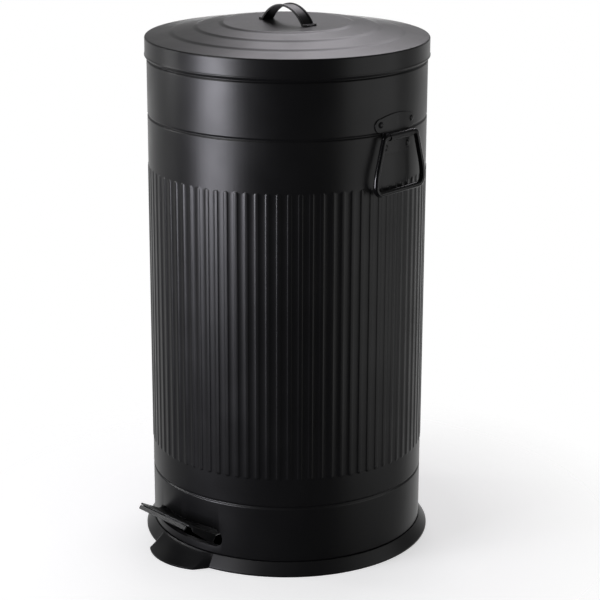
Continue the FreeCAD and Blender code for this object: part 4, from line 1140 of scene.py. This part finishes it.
floor_shape = bmesh.new()
bmesh.ops.create_circle(floor_shape, cap_ends=True, segments=96, radius=floor_reach)
floor = shown_shape("studio_floor", floor_shape)
floor.data.materials.append(fade_floor())
print("floor reaches", floor_reach, "and fades from", floor_fade[0])


# %% World light
studio_falloff = 4.0
horizon_band = (-0.2, 0.05)
horizon_light = (1.0, 0.35)
matt_light = 0.3


def studio_world():
    """White for the camera, a soft grey light for matt surfaces, light behind the bin for glossy ones."""
    world = bpy.data.worlds.new("studio")
    world.use_nodes = True
    bpy.context.scene.world = world
    tree = world.node_tree
    light = tree.nodes.new("ShaderNodeLightPath").outputs
    direction = tree.nodes.new("ShaderNodeTexCoord").outputs["Generated"]
    backwards = (-math.sin(azimuth), math.cos(azimuth), 0.0)
    behind = fed(tree, "ShaderNodeVectorMath", direction, backwards, operation="DOT_PRODUCT")
    share = ranged(tree, behind.outputs["Value"], (-1.0, 1.0))
    height = fed(tree, "ShaderNodeSeparateXYZ", direction)
    dimmer = ranged(tree, height.outputs["Z"], horizon_band, horizon_light)
    studio = math_of(tree, "MULTIPLY", math_of(tree, "POWER", share, studio_falloff), dimmer)
    shiny = math_of(tree, "MAXIMUM", light["Is Glossy Ray"], light["Is Transmission Ray"])
    matt = math_of(tree, "MULTIPLY", math_of(tree, "SUBTRACT", 1.0, shiny), matt_light)
    level = math_of(tree, "ADD", math_of(tree, "MULTIPLY", studio, shiny), matt)
    whole = math_of(tree, "MAXIMUM", level, light["Is Camera Ray"])
    background = tree.nodes["Background"]
    background.inputs["Color"].default_value = white
    tree.links.new(whole, background.inputs["Strength"])


studio_world()
print("world", bpy.context.scene.world.name)

# %% [markdown]
# ## Lamps
# Black paint shows hardly any colour of its own: what gives it form is the mirror of each lamp. So the
# lamps are soft rectangles, each placed for one stripe of light, such as the key on the left of the
# wall or the narrow one along its edge. A point lamp would leave only small bright dots.


# %% Softboxes
def softbox(name, turn, rise, distance, width, tall, radiance, colour=(1.0, 1.0, 1.0)):
    """Area lamp, turned to the camera's left and raised above the bin's middle by angles in degrees."""
    lamp = bpy.data.lights.new(name, "AREA")
    lamp.shape = "RECTANGLE"
    lamp.size = width
    lamp.size_y = tall
    lamp.color = colour
    lamp.energy = radiance * math.pi * width * tall
    thing = shown(name, lamp)
    side = azimuth - math.radians(turn)
    lift = math.radians(rise)
    away = Vector((math.sin(side) * math.cos(lift), -math.cos(side) * math.cos(lift), math.sin(lift)))
    thing.location = away * distance + Vector((0, 0, top_z / 2))
    thing.rotation_mode = "QUATERNION"
    thing.rotation_quaternion = (-away).to_track_quat("-Z", "Y")
    print(name, "at", [round(value, 2) for value in thing.location], "gives", round(lamp.energy, 1), "W")


lamps = {
    "key_left": dict(turn=57.5, rise=1.0, distance=1.5, width=0.62, tall=0.5, radiance=12.6,
                     colour=(0.92, 0.91, 1.0)),
    "key_high": dict(turn=46.0, rise=14.0, distance=1.5, width=0.18, tall=0.3, radiance=8.0),
    "fill_right": dict(turn=-71.0, rise=0.0, distance=1.6, width=1.5, tall=1.5, radiance=0.6),
    "top_left": dict(turn=66.0, rise=50.0, distance=1.6, width=0.36, tall=0.6, radiance=5.0),
    "edge_left": dict(turn=101.0, rise=12.0, distance=1.6, width=0.22, tall=0.6, radiance=6.5),
    "rear": dict(turn=-166.0, rise=45.0, distance=1.7, width=1.0, tall=0.8, radiance=2.6,
                 colour=(0.98, 0.94, 1.0)),
    "back": dict(turn=180.0, rise=0.0, distance=1.6, width=0.5, tall=0.5, radiance=5.0),
}
for name, setting in lamps.items():
    softbox(name, **setting)

# %% [markdown]
# ## Camera
# The photograph was taken from about two metres, a little above the bin, with a long lens. The place,
# tilt and lens come from fitting the round edges of the bin, and the frame is square.

# %% Camera
camera_distance = 2.097
camera_height = 0.904
camera_tilt = math.radians(17.03)
camera_swing = math.radians(0.394)
camera_roll = math.radians(0.198)
focal_pixels = 1981.0
frame_pixels = 600.0
sensor_width = 36.0

camera_data = bpy.data.cameras.new("camera")
camera_data.sensor_width = sensor_width
camera_data.lens = focal_pixels / frame_pixels * sensor_width
camera = shown("camera", camera_data)
level = math.cos(camera_tilt)
forward = Vector((level * math.sin(camera_swing), level * math.cos(camera_swing), -math.sin(camera_tilt)))
level_right = Vector((math.cos(camera_swing), -math.sin(camera_swing), 0))
level_up = level_right.cross(forward)
right = math.cos(camera_roll) * level_right + math.sin(camera_roll) * level_up
up = right.cross(forward)
axes = Matrix((right, up, -forward)).transposed().to_4x4()
camera.matrix_world = (Matrix.Rotation(azimuth, 4, "Z")
                       @ Matrix.Translation((0, -camera_distance, camera_height)) @ axes)
bpy.context.scene.camera = camera
bpy.context.scene.view_settings.view_transform = "Standard"
print("camera at", [round(v, 3) for v in camera.matrix_world.translation])
